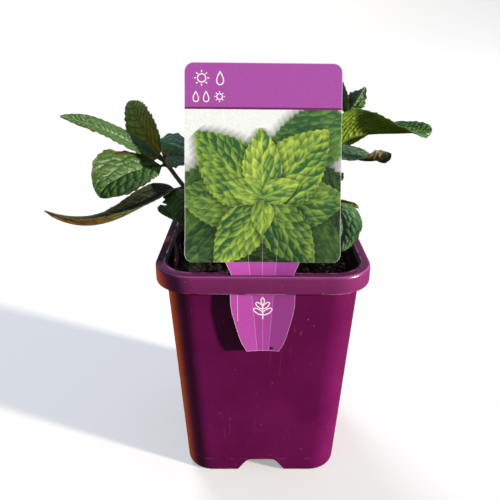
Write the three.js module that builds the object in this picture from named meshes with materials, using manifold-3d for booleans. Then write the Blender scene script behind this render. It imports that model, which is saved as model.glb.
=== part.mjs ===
// A young mint plant in a square plastic nursery pot, with its plant label.
// Millimetres, +Z up, +Y away from the viewer. The origin is on the pot's axis, on the surface it stands on.

import * as THREE from 'three';
import { mergeVertices } from 'three/addons/utils/BufferGeometryUtils.js';
import Module from 'manifold-3d';

const wasm = await Module();
wasm.setup();

// Pot: a thin square moulding that narrows towards the foot, with a rim band hanging clear of the wall
const POT_HEIGHT = 120.3;
const RIM_HALF = 50;
const RIM_RADIUS = 19;
const BAND_HEIGHT = 8.8;
const BAND_THICKNESS = 1.4;
const WALL_TOP_HALF = 45.2;
const WALL_FOOT_HALF = 39.6;
const WALL_THICKNESS = 1.4;
const RIM_INNER_HALF = 46;
const FOOT_CHAMFER = 1.4;
const FLOOR_CHAMFER = 1.6;
const CORNER_STEPS = 5;

// Foot: two crossing drainage channels lift the floor between four corner feet
const CHANNEL_FOOT_HALF = 13;
const CHANNEL_ROOF_HALF = 6.5;
const CHANNEL_HEIGHT = 8;
const CHANNEL_SHOULDER = 2.5;
const DRAIN_RADIUS = 3.2;
const DRAIN_ARM = 22;

// Slot in the rim's top for the label
const SLOT_WIDTH = 35;
const SLOT_FRONT = 48.5;
const SLOT_BACK = 46.1;

// Potting mix
const MIX_TOP = 107;
const MIX_GAP = 0.4;
const MIX_LUMP = 1.3;

// Label: one bent card
const LABEL_THICKNESS = 0.7;
const LABEL_Y = -47.6;
const LABEL_END_Z = 80.8;
const LABEL_TURN_Z = 120.3;
const LABEL_LEAN = THREE.MathUtils.degToRad(19.5);
const LABEL_BEND_RADIUS = 13.2;
const CARD_HALF = 34.05;
const CARD_HEIGHT = 86.2;
const CARD_RADIUS = 4;

// Stems
const STEM_FOOT_HALF = 1.5;
const STEM_TIP_HALF = 0.8;
const STEM_DEPTH = 16;
const STEM_STEPS = 9;
const HOLE_RADIUS = 2.7;
const HOLE_DEPTH = 17;

// Leaves
const BLADE_THICKNESS = 0.8;
const PETIOLE_SHARE = 0.1;
const PETIOLE_HALF = 0.75;
const BLADE_START_HALF = 0.9;
const BLADE_TIP_HALF = 0.55;
const TOOTH_DEPTH = 0.07;
const BROAD_LEAF = 24;
const SMALL_LEAF = 12;

const rad = THREE.MathUtils.degToRad;
const vec = (x, y, z) => new THREE.Vector3(x, y, z);

// Random numbers from 0 to 1 by the minimal standard generator, so that every seed gives one plant
function seeded(seed) {
  let state = seed;
  return () => {
    state = (state * 16807) % 2147483647;
    return state / 2147483647;
  };
}

// A closed body through rings that all have the same number of points, from its bottom to its top
function loft(rings) {
  const count = rings[0].length;
  const middle = (ring) => ring.reduce((sum, p) => sum.add(p), vec(0, 0, 0)).divideScalar(count);
  const points = [...rings.flat(), middle(rings[0]), middle(rings.at(-1))];
  const foot = points.length - 2;
  const head = points.length - 1;
  const last = (rings.length - 1) * count;
  const faces = [];
  for (let i = 0; i < count; i++) {
    const j = (i + 1) % count;
    for (let r = 0; r < last; r += count) {
      faces.push(r + i, r + j, r + count + j, r + i, r + count + j, r + count + i);
    }
    faces.push(foot, j, i, head, last + i, last + j);
  }
  return meshOf(points, faces);
}

function meshOf(points, faces) {
  const geometry = new THREE.BufferGeometry().setFromPoints(points);
  geometry.setIndex(faces);
  return geometry;
}

function solidOf(geometry) {
  const bare = geometry.clone();
  bare.deleteAttribute('normal');
  bare.deleteAttribute('uv');
  const merged = mergeVertices(bare, 1e-4);
  return new wasm.Manifold(new wasm.Mesh({
    numProp: 3,
    vertProperties: new Float32Array(merged.attributes.position.array),
    triVerts: new Uint32Array(merged.index.array),
  }));
}

function geometryOf(solid) {
  const mesh = solid.getMesh();
  const geometry = new THREE.BufferGeometry();
  geometry.setAttribute('position', new THREE.BufferAttribute(mesh.vertProperties, 3));
  geometry.setIndex(new THREE.BufferAttribute(mesh.triVerts, 1));
  geometry.computeVertexNormals();
  return geometry;
}

function joined(geometries) {
  return geometries.map(solidOf).reduce((whole, piece) => whole.add(piece));
}

// A square with round corners at one height
function squareRing(half, radius, z) {
  const ring = [];
  for (let corner = 0; corner < 4; corner++) {
    const turn = corner * Math.PI / 2;
    const centre = vec(half - radius, half - radius, z).applyAxisAngle(vec(0, 0, 1), turn);
    for (let step = 0; step <= CORNER_STEPS; step++) {
      const angle = turn + step / CORNER_STEPS * Math.PI / 2;
      ring.push(vec(centre.x + radius * Math.cos(angle), centre.y + radius * Math.sin(angle), z));
    }
  }
  return ring;
}

const BAND_FOOT = POT_HEIGHT - BAND_HEIGHT;
const WALL_RADIUS = RIM_RADIUS - (RIM_HALF - WALL_TOP_HALF);

// A ring of the rim, parallel to its outer edge
const rimRing = (half, z) => squareRing(half, RIM_RADIUS - (RIM_HALF - half), z);

// A ring of the tapering wall, set in from its outside
function wallRing(z, inset) {
  const outside = WALL_FOOT_HALF + (WALL_TOP_HALF - WALL_FOOT_HALF) * z / BAND_FOOT;
  return squareRing(outside - inset, WALL_RADIUS - inset, z);
}

// The lower rings of the pot's inside, drawn in by a margin
function cavityFloor(margin) {
  const inset = WALL_THICKNESS + margin;
  return [wallRing(inset, inset + FLOOR_CHAMFER), wallRing(inset + FLOOR_CHAMFER, inset)];
}

// The two drainage channels, grown by a margin on their roof and sides
function channels(margin) {
  const foot = CHANNEL_FOOT_HALF + margin;
  const side = CHANNEL_ROOF_HALF + margin;
  const roof = CHANNEL_HEIGHT + margin;
  const shoulder = CHANNEL_SHOULDER;
  const profile = new THREE.Shape();
  profile.moveTo(-foot, -1);
  profile.lineTo(foot, -1);
  profile.lineTo(foot, 0);
  profile.lineTo(side + shoulder, roof - shoulder);
  profile.quadraticCurveTo(side + shoulder / 3, roof, side - shoulder / 2, roof);
  profile.lineTo(-side + shoulder / 2, roof);
  profile.quadraticCurveTo(-side - shoulder / 3, roof, -side - shoulder, roof - shoulder);
  profile.lineTo(-foot, 0);
  const length = 2 * RIM_HALF;
  const along = new THREE.ExtrudeGeometry(profile, { depth: length, bevelEnabled: false, curveSegments: 3 });
  along.translate(0, 0, -length / 2).rotateX(Math.PI / 2);
  const across = along.clone().rotateZ(Math.PI / 2);
  return joined([along, across]);
}

// A round upright rod, to cut holes with
function upright(radius, bottom, top, x, y) {
  const rod = new THREE.CylinderGeometry(radius, radius, top - bottom, 10);
  return rod.rotateX(Math.PI / 2).translate(x, y, (top + bottom) / 2);
}

function pot() {
  const webFoot = POT_HEIGHT - BAND_THICKNESS;
  const outer = loft([
    wallRing(0, FOOT_CHAMFER),
    wallRing(1.8, 0),
    wallRing(BAND_FOOT, 0),
    rimRing(WALL_TOP_HALF + 0.4, webFoot),
    rimRing(RIM_HALF - BAND_THICKNESS, webFoot),
    rimRing(RIM_HALF - BAND_THICKNESS, BAND_FOOT),
    rimRing(RIM_HALF - 0.3, BAND_FOOT),
    rimRing(RIM_HALF, BAND_FOOT + 0.8),
    rimRing(RIM_HALF - 0.1, POT_HEIGHT - 1.8),
    rimRing(RIM_HALF - 0.7, POT_HEIGHT - 0.6),
    rimRing(RIM_HALF - 1.7, POT_HEIGHT),
    rimRing(RIM_INNER_HALF, POT_HEIGHT),
  ]);
  const inner = loft([
    ...cavityFloor(0),
    wallRing(BAND_FOOT, WALL_THICKNESS),
    rimRing(WALL_TOP_HALF - WALL_THICKNESS + 0.3, POT_HEIGHT - 2.4),
    rimRing(RIM_INNER_HALF - 0.5, POT_HEIGHT - 0.8),
    rimRing(RIM_INNER_HALF, POT_HEIGHT),
    rimRing(RIM_INNER_HALF, POT_HEIGHT + 1),
  ]);
  const slotDepth = SLOT_FRONT - SLOT_BACK;
  const slot = new THREE.BoxGeometry(SLOT_WIDTH, slotDepth, 2 * BAND_THICKNESS + 1);
  slot.translate(0, -(SLOT_FRONT + SLOT_BACK) / 2, POT_HEIGHT);
  const places = [[0, 0], [DRAIN_ARM, 0], [-DRAIN_ARM, 0], [0, DRAIN_ARM], [0, -DRAIN_ARM]];
  const drains = places.map(([x, y]) => upright(DRAIN_RADIUS, CHANNEL_HEIGHT - 1, CHANNEL_HEIGHT + 4, x, y));
  const room = solidOf(inner).subtract(channels(WALL_THICKNESS));
  const cuts = joined([slot, ...drains]);
  return geometryOf(solidOf(outer).subtract(channels(0)).subtract(room).subtract(cuts));
}

// Potting mix: fills the pot below a lumpy top, with a plain hole for each stem
function mixTop(x, y) {
  const broad = Math.sin(0.31 * x + 1.3) * Math.cos(0.27 * y - 0.6);
  const fine = Math.sin(0.53 * x - 0.47 * y + 2.1);
  return MIX_TOP + MIX_LUMP * (broad + 0.6 * fine);
}

function pottingMix() {
  const edge = wallRing(MIX_TOP - 3 * MIX_LUMP, WALL_THICKNESS + MIX_GAP);
  const rings = cavityFloor(MIX_GAP);
  for (const share of [1, 0.93, 0.78, 0.62, 0.46, 0.3, 0.14]) {
    const sink = share === 1 ? MIX_LUMP : 0;
    rings.push(edge.map(({ x, y }) => vec(x * share, y * share, mixTop(x * share, y * share) - sink)));
  }
  const above = MIX_TOP + 4 * MIX_LUMP;
  const holes = SHOOTS.map(({ foot: [x, y] }) => upright(HOLE_RADIUS, MIX_TOP - HOLE_DEPTH, above, x, y));
  const cuts = channels(WALL_THICKNESS + MIX_GAP).add(joined(holes));
  return geometryOf(solidOf(loft(rings)).subtract(cuts));
}

// Label: rows across the card from the tail's end to the card's top, carried along its bent centre line
const BEND_LENGTH = LABEL_BEND_RADIUS * LABEL_LEAN;
const TAIL_LENGTH = LABEL_TURN_Z - LABEL_END_Z;
const CARD_START = TAIL_LENGTH + BEND_LENGTH;

// Half widths of the tail, from its rounded end past its widest place to the neck that flares into the card
const TAIL = [
  [0, 7.4], [0.4, 7.7], [4, 9.6], [8, 10.9], [12, 11.95], [20, 13.8], [25, 14.5], [30, 14.5], [35, 13.9],
  [TAIL_LENGTH, 13], [TAIL_LENGTH + 1.5, 13.1], [TAIL_LENGTH + 3.1, 13.9], [CARD_START - 0.4, 15.2],
  [CARD_START - 0.05, 16.2],
];

function labelCentre(s) {
  if (s <= TAIL_LENGTH) {
    return { y: LABEL_Y, z: LABEL_END_Z + s, lean: 0 };
  }
  const bent = Math.min(s - TAIL_LENGTH, BEND_LENGTH);
  const lean = bent / LABEL_BEND_RADIUS;
  const straight = s - TAIL_LENGTH - bent;
  return {
    y: LABEL_Y + LABEL_BEND_RADIUS * (1 - Math.cos(lean)) + straight * Math.sin(lean),
    z: LABEL_TURN_Z + LABEL_BEND_RADIUS * Math.sin(lean) + straight * Math.cos(lean),
    lean,
  };
}

function plantLabel() {
  const rows = TAIL.map(([s, half]) => ({ s, half }));
  const corner = [0, 1, 2, 3, 4].map((step) => rad(90 * step / 4));
  const rounded = (angle, end, inward) => ({
    s: end + inward * CARD_RADIUS * (1 - Math.cos(angle)),
    half: CARD_HALF - CARD_RADIUS * (1 - Math.sin(angle)),
  });
  rows.push(...corner.map((angle) => rounded(angle, CARD_START, 1)));
  rows.push(...corner.reverse().map((angle) => rounded(angle, CARD_START + CARD_HEIGHT, -1)));
  return loft(rows.map(({ s, half }) => {
    const { y, z, lean } = labelCentre(s);
    const across = vec(0, Math.cos(lean), -Math.sin(lean)).multiplyScalar(LABEL_THICKNESS / 2);
    const centre = vec(0, y, z);
    const at = (x, side) => centre.clone().add(vec(x, 0, 0)).addScaledVector(across, side);
    return [at(-half, -1), at(half, -1), at(half, 1), at(-half, 1)];
  }));
}

// Stem: a square tube from the mix to the crown, on a cubic curve that starts upright
function stemCurve({ foot, bend, crown }) {
  const [x, y] = foot;
  const start = vec(x, y, MIX_TOP);
  const rise = (crown[2] - MIX_TOP) / 3;
  return new THREE.CubicBezierCurve3(start, vec(x, y, MIX_TOP + rise), vec(...bend), vec(...crown));
}

// A tube of four sides along points, with a half width at each
function squareTube(points, halves, sideways) {
  return loft(points.map((point, i) => {
    const before = points[Math.max(i - 1, 0)];
    const after = points[Math.min(i + 1, points.length - 1)];
    const along = after.clone().sub(before).normalize();
    const right = sideways.clone().addScaledVector(along, -sideways.dot(along)).setLength(halves[i]);
    const front = along.clone().cross(right);
    const corner = (a, b) => point.clone().addScaledVector(right, a).addScaledVector(front, b);
    return [corner(1, 1), corner(-1, 1), corner(-1, -1), corner(1, -1)];
  }));
}

function stem(shoot) {
  const curve = stemCurve(shoot);
  const [x, y] = shoot.foot;
  const buried = [MIX_TOP - STEM_DEPTH, MIX_TOP - STEM_DEPTH / 4].map((z) => vec(x, y, z));
  const points = [...buried, ...curve.getPoints(STEM_STEPS)];
  const taper = (STEM_TIP_HALF - STEM_FOOT_HALF) / (points.length - 1);
  const halves = points.map((_, i) => STEM_FOOT_HALF + taper * i);
  return squareTube(points, halves, vec(1, 0.2, 0));
}

// Midrib of a leaf: a cubic curve from the stem to the leaf's tip.
// arch lifts it towards the leaf's upper side, nod lifts its outer part more, sweep bows it sideways.
function midrib(root, { tip, arch = 6, nod = -3, sweep = 0 }) {
  const chord = tip.clone().sub(root);
  const along = chord.clone().normalize();
  const level = Math.hypot(along.x, along.y);
  const face = vec(-along.z * along.x / level, -along.z * along.y / level, level);
  const bow = along.clone().cross(face).multiplyScalar(sweep);
  const control = (share, lift) => {
    return root.clone().addScaledVector(chord, share).addScaledVector(face, lift).add(bow);
  };
  const curve = new THREE.CubicBezierCurve3(root, control(1 / 3, arch), control(2 / 3, arch + nod), tip);
  return { face, curve };
}

// Half width along the blade as a share of its widest, for x from 0 at the base to 1 at the tip
function outline(x, widest) {
  return Math.sin(Math.PI * x ** (Math.log(0.5) / Math.log(widest))) ** 0.8;
}

// One leaf: a short stalk and a thin folded blade with toothed edges and wavy sides
function leaf(root, spec) {
  const { width, roll = 0, twist = 0, fold = 16, cup = 0.12, wave = 0.05, widest = 0.4 } = spec;
  const columns = width > BROAD_LEAF ? 2 : 1;
  const teeth = 4 + (width > SMALL_LEAF) + (width > BROAD_LEAF);
  const { face, curve } = midrib(root, spec);
  const stalk = [0, 0.8, 1.6].map((share) => curve.getPoint(share * PETIOLE_SHARE));
  const stations = 2 * teeth;
  const top = [];
  const bottom = [];
  for (let i = 0; i <= stations; i++) {
    const x = i / stations;
    const u = PETIOLE_SHARE + (1 - PETIOLE_SHARE) * x;
    const along = curve.getTangent(u);
    const turn = rad(roll + twist * x * x);
    const upward = face.clone().addScaledVector(along, -face.dot(along)).normalize();
    const level = along.clone().cross(upward);
    const right = level.clone().multiplyScalar(Math.cos(turn)).addScaledVector(upward, Math.sin(turn));
    const normal = upward.clone().multiplyScalar(Math.cos(turn)).addScaledVector(level, -Math.sin(turn));
    const tooth = 1 + TOOTH_DEPTH * (i % 2 === 0 ? -1 : 1);
    const ends = i === 0 ? BLADE_START_HALF : BLADE_TIP_HALF;
    const half = Math.max(ends, width / 2 * outline(x, widest) * tooth);
    for (let c = -columns; c <= columns; c++) {
      const q = c / columns;
      const ripple = Math.sin(2 * Math.PI * (1.5 * x + (q < 0 ? 0.35 : 0)));
      const lift = Math.abs(q) * half * Math.sin(rad(fold)) + q * q * (wave * width * ripple - cup * half);
      const point = curve.getPoint(u).addScaledVector(right, q * half * Math.cos(rad(fold)));
      top.push(point.clone().addScaledVector(normal, lift + BLADE_THICKNESS / 2));
      bottom.push(point.clone().addScaledVector(normal, lift - BLADE_THICKNESS / 2));
    }
  }
  const halves = [PETIOLE_HALF * 1.1, PETIOLE_HALF, PETIOLE_HALF * 0.8];
  return [squareTube(stalk, halves, face), blade(top, bottom, 2 * columns + 1)];
}

// Closes a grid of top points and one of bottom points, split alike, into a thin body
function blade(top, bottom, across) {
  const rows = top.length / across;
  const under = top.length;
  const faces = [];
  const quad = (a, b, c, d) => faces.push(a, b, c, a, c, d);
  for (let r = 0; r + 1 < rows; r++) {
    for (let c = 0; c + 1 < across; c++) {
      const near = r * across + c;
      const far = near + across;
      quad(near, near + 1, far + 1, far);
      faces.push(under + near, under + far + 1, under + near + 1);
      faces.push(under + near, under + far, under + far + 1);
    }
    const left = r * across;
    const right = left + across - 1;
    quad(left, left + across, under + left + across, under + left);
    quad(right, under + right, under + right + across, right + across);
  }
  const end = (rows - 1) * across;
  for (let c = 0; c + 1 < across; c++) {
    quad(c, under + c, under + c + 1, c + 1);
    quad(end + c, end + c + 1, under + end + c + 1, under + end + c);
  }
  return meshOf([...top, ...bottom], faces);
}

// Pairs of leaves by the plant's own rule: each pair stands square to the one below, shorter and more upright
function rulePairs(shoot) {
  const { pairs = 0, lowest, highest = 0.97, climb = 62, bare = [] } = shoot;
  const random = seeded(shoot.seed);
  const either = (most) => 2 * most * (random() - 0.5);
  const curve = stemCurve(shoot);
  const leaves = [];
  for (let pair = 0; pair < pairs; pair++) {
    const height = pair / (pairs - 1);
    const at = lowest + (highest - lowest) * height;
    for (let side = 0; side < 2; side++) {
      const azimuth = rad(shoot.azimuth + 90 * pair + 180 * side + either(12));
      const rise = rad(-8 + climb * height + either(10));
      const length = shoot.length * (1 - 0.52 * height) * (0.88 + 0.24 * random());
      const level = length * Math.cos(rise);
      const reach = vec(level * Math.cos(azimuth), level * Math.sin(azimuth), length * Math.sin(rise));
      const tip = curve.getPoint(at).add(reach);
      const droop = 0.22 * length * (0.7 + 0.5 * random());
      const bow = { arch: droop, nod: -0.3 * droop, sweep: either(2) };
      const width = length * (0.5 + 0.08 * random());
      leaves.push({ at, tip, ...bow, width, roll: either(12), twist: either(10) });
    }
  }
  return leaves.filter((_, i) => !bare.includes(i));
}

function shootSolid(shoot) {
  const curve = stemCurve(shoot);
  const measured = (shoot.leaves ?? []).map((spec) => ({ ...spec, tip: vec(...spec.tip) }));
  const pieces = [...measured, ...rulePairs(shoot)].flatMap((spec) => leaf(curve.getPoint(spec.at), spec));
  return geometryOf(joined([stem(shoot), ...pieces]));
}

// Shoots: foot is where the stem leaves the mix, bend is its upper control point, crown its top.
// leaves stand at a share of the stem's length and end at a tip measured on the real plant. The others come
// in pairs by the rule above, from lowest to highest. bare names those that fell, counted from the lowest.
const SHOOTS = [
  {
    name: 'mint_shoot_left', foot: [-16, -8], bend: [-34, -31, 150], crown: [-46.8, -9, 161.8],
    pairs: 2, lowest: 0.28, highest: 0.46, climb: 10, azimuth: 70, length: 34, seed: 21,
    leaves: [
      { at: 0.75, tip: [-86.5, -60, 153.5], width: 21, arch: 3.5, nod: -23, sweep: -5, roll: -4, twist: -16,
        fold: 25, cup: 0.07, widest: 0.34 },
      { at: 0.75, tip: [-35.5, -32.5, 137.5], width: 19.5, arch: 8, nod: 0.5, sweep: -0.5, roll: -4,
        cup: 0.1, widest: 0.43 },
      { at: 0.97, tip: [-86.2, -30, 185], width: 14, arch: 2.2, nod: 1.5, roll: 24,
        fold: 15, cup: 0.1, widest: 0.42 },
      { at: 0.98, tip: [-64.5, 15.5, 185], width: 19, arch: -0.5, nod: 6, sweep: -5, roll: 76, twist: -39,
        fold: 20, cup: 0.19, widest: 0.35 },
      { at: 0.96, tip: [-69.5, -41, 153.5], width: 28, arch: 2, nod: 7.5, sweep: -2, roll: 22, twist: 12,
        fold: 25, widest: 0.6 },
      { at: 0.99, tip: [-35, -5, 166.5], width: 10.5, arch: 14.5, nod: -10.5, sweep: -2.5, roll: -7,
        twist: -24, fold: 18, cup: 0.07, widest: 0.43 },
      { at: 0.99, tip: [-33.5, -14.5, 165], width: 8.5, arch: 5.5, nod: -5.5, sweep: 6.5, roll: -93, twist: 5,
        fold: 22, cup: 0.16, widest: 0.42 },
      { at: 0.58, tip: [-47, -33, 145.5], width: 14.5, arch: -7.5, nod: 2, sweep: 3, roll: 32, twist: -13,
        fold: 11, cup: 0.03, widest: 0.49 },
    ],
  },
  {
    name: 'mint_shoot_right', foot: [18, 8], bend: [28, 2, 166], crown: [43.5, 20, 181],
    pairs: 2, lowest: 0.3, highest: 0.5, climb: 10, azimuth: 60, length: 34, seed: 77,
    leaves: [
      { at: 0.96, tip: [39.5, 20.5, 194], width: 7, arch: 2, nod: -0.5, sweep: -2, roll: 80, twist: 6,
        fold: 14, cup: 0.05, widest: 0.36 },
      { at: 0.98, tip: [50, 14.5, 193.5], width: 9, arch: -1, nod: -0.5, sweep: 1, roll: 99, twist: 8,
        fold: 13, cup: 0.1, widest: 0.42 },
      { at: 0.68, tip: [86, 14.5, 172], width: 31, arch: 11, nod: -10.5, sweep: -2, roll: 46, twist: -40,
        fold: 24, cup: 0.11, widest: 0.26 },
      { at: 0.7, tip: [61, -6, 164.5], width: 19, arch: -1, nod: -6, sweep: 3, roll: -28, twist: 124,
        fold: 20, widest: 0.41 },
    ],
  },
  {
    name: 'mint_shoot_front_right', foot: [24, -14], bend: [30, -12, 138], crown: [34, -9, 150],
    leaves: [
      { at: 0.8, tip: [39, -22, 122], width: 19, arch: 6.5, nod: -3, sweep: -5,
        fold: 15, cup: 0.15, widest: 0.45 },
      { at: 0.8, tip: [49.5, 2.5, 134.5], width: 8, arch: 2, nod: 0, sweep: -3, roll: 8, twist: 20,
        fold: 11, widest: 0.36 },
      { at: 0.97, tip: [38.6, -5, 155], width: 9, arch: 2, nod: 0 },
      { at: 0.97, tip: [28, -14, 158], width: 9, arch: 2, nod: 0 },
      { at: 0.5, tip: [10, -22, 126], width: 16, arch: 5, nod: 0 },
    ],
  },
  {
    name: 'mint_shoot_back', foot: [2, 20], bend: [2, 24, 150], crown: [4, 30, 188],
    pairs: 5, lowest: 0.28, azimuth: 30, length: 42, seed: 67, bare: [0, 9],
    leaves: [{ at: 0.22, tip: [-4, 60.3, 137], width: 22, arch: 8, nod: -2 }],
  },
  {
    name: 'mint_shoot_middle', foot: [-2, -12], bend: [-4, -14, 145], crown: [-6, -8, 174],
    pairs: 4, lowest: 0.3, azimuth: 30, length: 40, seed: 23, bare: [1, 7],
  },
  {
    name: 'mint_shoot_back_left', foot: [-22, 16], bend: [-24, 30, 140], crown: [-26, 36, 168],
    pairs: 4, lowest: 0.3, azimuth: 50, length: 36, seed: 154, bare: [1, 7],
  },
  {
    name: 'mint_shoot_back_right', foot: [22, 26], bend: [26, 36, 140], crown: [27, 40, 162],
    pairs: 4, lowest: 0.3, azimuth: 40, length: 34, seed: 116, bare: [0, 6],
  },
];

const potPlastic = new THREE.MeshStandardMaterial({ color: '#5e1449', roughness: 0.35, metalness: 0 });
const mix = new THREE.MeshStandardMaterial({ color: '#3a2a1e', roughness: 1, metalness: 0 });
const card = new THREE.MeshStandardMaterial({ color: '#a24aa6', roughness: 0.4, metalness: 0 });
const mint = new THREE.MeshStandardMaterial({ color: '#4c7a3a', roughness: 0.6, metalness: 0 });

const plant = new THREE.Group();
function place(name, geometry, material) {
  const mesh = new THREE.Mesh(geometry, material);
  mesh.name = name;
  plant.add(mesh);
}

place('pot', pot(), potPlastic);
place('potting_mix', pottingMix(), mix);
place('plant_label', plantLabel(), card);
for (const shoot of SHOOTS) {
  place(shoot.name, shootSolid(shoot), mint);
}

export default plant;
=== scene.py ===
import math
from functools import partial

import bpy
import numpy as np
from mathutils import Matrix, Vector, noise


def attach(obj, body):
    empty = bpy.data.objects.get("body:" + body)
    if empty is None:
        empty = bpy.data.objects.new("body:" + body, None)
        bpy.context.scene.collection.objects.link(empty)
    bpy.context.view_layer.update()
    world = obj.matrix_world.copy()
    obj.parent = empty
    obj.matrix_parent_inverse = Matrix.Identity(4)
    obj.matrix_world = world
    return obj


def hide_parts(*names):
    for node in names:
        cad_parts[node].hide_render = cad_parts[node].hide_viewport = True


# A young mint plant in a square plastic nursery pot, with its plant label.
# Lengths are in millimetres until a mesh or a pattern is made, which is in metres.
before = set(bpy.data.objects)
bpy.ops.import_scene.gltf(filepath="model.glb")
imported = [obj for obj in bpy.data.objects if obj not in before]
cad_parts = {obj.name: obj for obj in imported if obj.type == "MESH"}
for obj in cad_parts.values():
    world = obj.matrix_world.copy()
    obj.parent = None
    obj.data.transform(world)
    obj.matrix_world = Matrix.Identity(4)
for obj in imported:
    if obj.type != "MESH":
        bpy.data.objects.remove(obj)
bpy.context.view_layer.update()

MM = 0.001

# Camera, from the photograph's perspective
FOCAL_PIXELS = 550
PICTURE_PIXELS = 500
SENSOR = 36
CAMERA_BACK = 265.45
CAMERA_HEIGHT = 224.8
CAMERA_PITCH = math.radians(23.052)
POT_YAW = math.radians(0.978)
CAMERA_ROLL = math.radians(0.6725)
OPTICAL_AXIS_PIXEL = 262.2

# Pot. The band is the skirt under the rim, and its arris goes by inset and rise. The web joins it to the wall.
POT_HEIGHT = 120.3
RIM_HALF = 50
RIM_RADIUS = 19
RIM_INNER_HALF = 46
RIM_ROUND = 1.7
RIM_LAND = 0.2
MOUTH_ROUND = 1.9
BAND_HEIGHT = 8.8
BAND_THICKNESS = 1.4
BAND_FOOT = POT_HEIGHT - BAND_HEIGHT
BAND_ARRIS = [(0.5, 0), (0.15, 0.2), (0, 0.7)]
WEB_FILLET = 0.4
FLOOR_LINE = 8.4
WALL_TOP_HALF = 45.2
WALL_FOOT_HALF = 39.6
WALL_THICKNESS = 1.4
WALL_RADIUS = RIM_RADIUS - (RIM_HALF - WALL_TOP_HALF)
FOOT_ROUND = 1.6
CHANNEL_FOOT_HALF = 13
CHANNEL_ROOF_HALF = 6.5
CHANNEL_HEIGHT = 8
CHANNEL_SHOULDER = 2.5
DRAIN_RADIUS = 3.2
DRAIN_ARM = 22
SLOT_WIDTH = 31
SLOT_FRONT = 48.3
SLOT_BACK = 46.8

# Potting mix
MIX_TOP = 107
MIX_GAP = 0.4
MIX_LUMP = 1.3
MIX_ROUGH = 0.55
MIX_CRUST = 8
STEM_DEPTH = 16

# Label: half widths of its tail from the end to the neck go by the length along the card
LABEL_THICKNESS = 0.5
LABEL_Y = -47.6
LABEL_END_Z = 80.8
LABEL_TURN_Z = 120.3
LABEL_LEAN = math.radians(19.5)
LABEL_BEND_RADIUS = 13.2
LABEL_SHIFT = 0.6
CARD_HALF = 33.85
CARD_HEIGHT = 85.4
CARD_RADIUS = 4
TAIL_LENGTH = LABEL_TURN_Z - LABEL_END_Z
BEND_END = TAIL_LENGTH + LABEL_BEND_RADIUS * LABEL_LEAN
CARD_START = BEND_END + 1.2
HEADER_FOOT = 65.7
HEADER_RULE = 0.9
TAIL = [
    (0, 7.4), (0.4, 7.7), (4, 9.6), (8, 10.9), (12, 11.95), (20, 13.8), (25, 14.5), (30, 14.5), (35, 13.9),
    (TAIL_LENGTH - 1, 13.05), (CARD_START, 16.2),
]
SCORE_AT_END = 2.6
SCORE_AT_CARD = 6.0
VALLEY = 1.0
VALLEY_FADE = 16
VALLEY_REACH = 8
VALLEY_LEVEL = 0.55
INK_HEIGHT = 0.04
INK_STEP = 0.008
INK_DEPTH = 0.1
RAY_START = 1.4
RAY_END = 1.85

# Leaves and stems
PETIOLE_SHARE = 0.1
STEM_FOOT_HALF = 1.5
STEM_TIP_HALF = 0.8
STEM_SIDES = 14
KNOT = 0.28
STALK_HALVES = (0.85, 0.5)
STALK_SIDES = 10
BLADE_THICKNESS = 0.3
TOOTH_SPACING = 3.0
TOOTH_DEPTH = 1.05
TOOTH_TIP = 0.72
VEIN_SLANT = 0.75
VEIN_BEND = 0.022
NET_FINER = 2.3
MIDRIB_HALF = 0.6
MIDRIB_SINK = 0.2
MIDRIB_RIB = 0.35
VEIN_RIB = 0.16
LOWEST_RISE = -8
LENGTH_LOST = 0.52
DROOP = 0.22
HAIR_LENGTH = 0.8
HAIR_RADIUS = 0.035
HAIRS_PER_SQUARE_METRE = 1.5e6
FINE_GRID = 0.38
COARSE_GRID = 0.6


def linear(code):
    """sRGB hex value as linear colour with alpha."""
    parts = [int(code[i:i + 2], 16) / 255 for i in (1, 3, 5)]
    return [c / 12.92 if c <= 0.04045 else ((c + 0.055) / 1.055) ** 2.4 for c in parts] + [1]


def add(tree, kind, inputs=(), stops=(), **settings):
    """Adds a node with its settings, the values or links of its inputs, and a colour ramp's stops.

    Its kind may have its operation behind it. Inputs go by name, or in order where they are in use.
    A node given for an input stands for its first output in use.
    """
    kind, _, operation = kind.partition(" ")
    made = tree.nodes.new(kind if kind.startswith(("Geometry", "Function", "NodeGroup")) else "ShaderNode" + kind)
    if operation:
        made.operation = operation
    for name, value in settings.items():
        setattr(made, name, value)
    if isinstance(inputs, dict):
        given = [(made.inputs[name], value) for name, value in inputs.items()]
    else:
        given = zip([socket for socket in made.inputs if socket.enabled], inputs)
    for socket, value in given:
        if isinstance(value, bpy.types.Node):
            value = next(out for out in value.outputs if out.enabled)
        if isinstance(value, bpy.types.NodeSocket):
            tree.links.new(value, socket)
        else:
            socket.default_value = value
    for i, (place, code) in enumerate(stops):
        stop = made.color_ramp.elements[i] if i < 2 else made.color_ramp.elements.new(place)
        stop.position = place
        stop.color = linear(code)
    return made


def every(size):
    """A pattern's scale in metres, from the millimetres that one of its features takes up."""
    return round(1 / (size * MM))


def new_material(name):
    """A material without nodes, and add() for its tree."""
    made = bpy.data.materials.new(name)
    made.use_nodes = True
    made.node_tree.nodes.clear()
    return made, partial(add, made.node_tree)


def new_group(name, kind, inputs, output):
    """A node group, add() for it, and its named inputs."""
    tree = bpy.data.node_groups.new(name, kind)
    for socket, sort in inputs.items():
        tree.interface.new_socket(socket, in_out="INPUT", socket_type="NodeSocket" + sort)
    tree.interface.new_socket(output, in_out="OUTPUT", socket_type="NodeSocket" + output)
    node = partial(add, tree)
    return tree, node, node("NodeGroupInput").outputs


def paint(node, colour, coats):
    """Lays coats over a colour, each with where it is, the most that it covers, and its sRGB value."""
    for where, most, code in coats:
        cover = where if most == 1 else node("Math MULTIPLY", [where, most])
        colour = node("Mix", [cover, colour, linear(code)], data_type="RGBA")
    return colour


def new_object(name, data):
    made = bpy.data.objects.new(name, data)
    bpy.context.scene.collection.objects.link(made)
    return made


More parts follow.
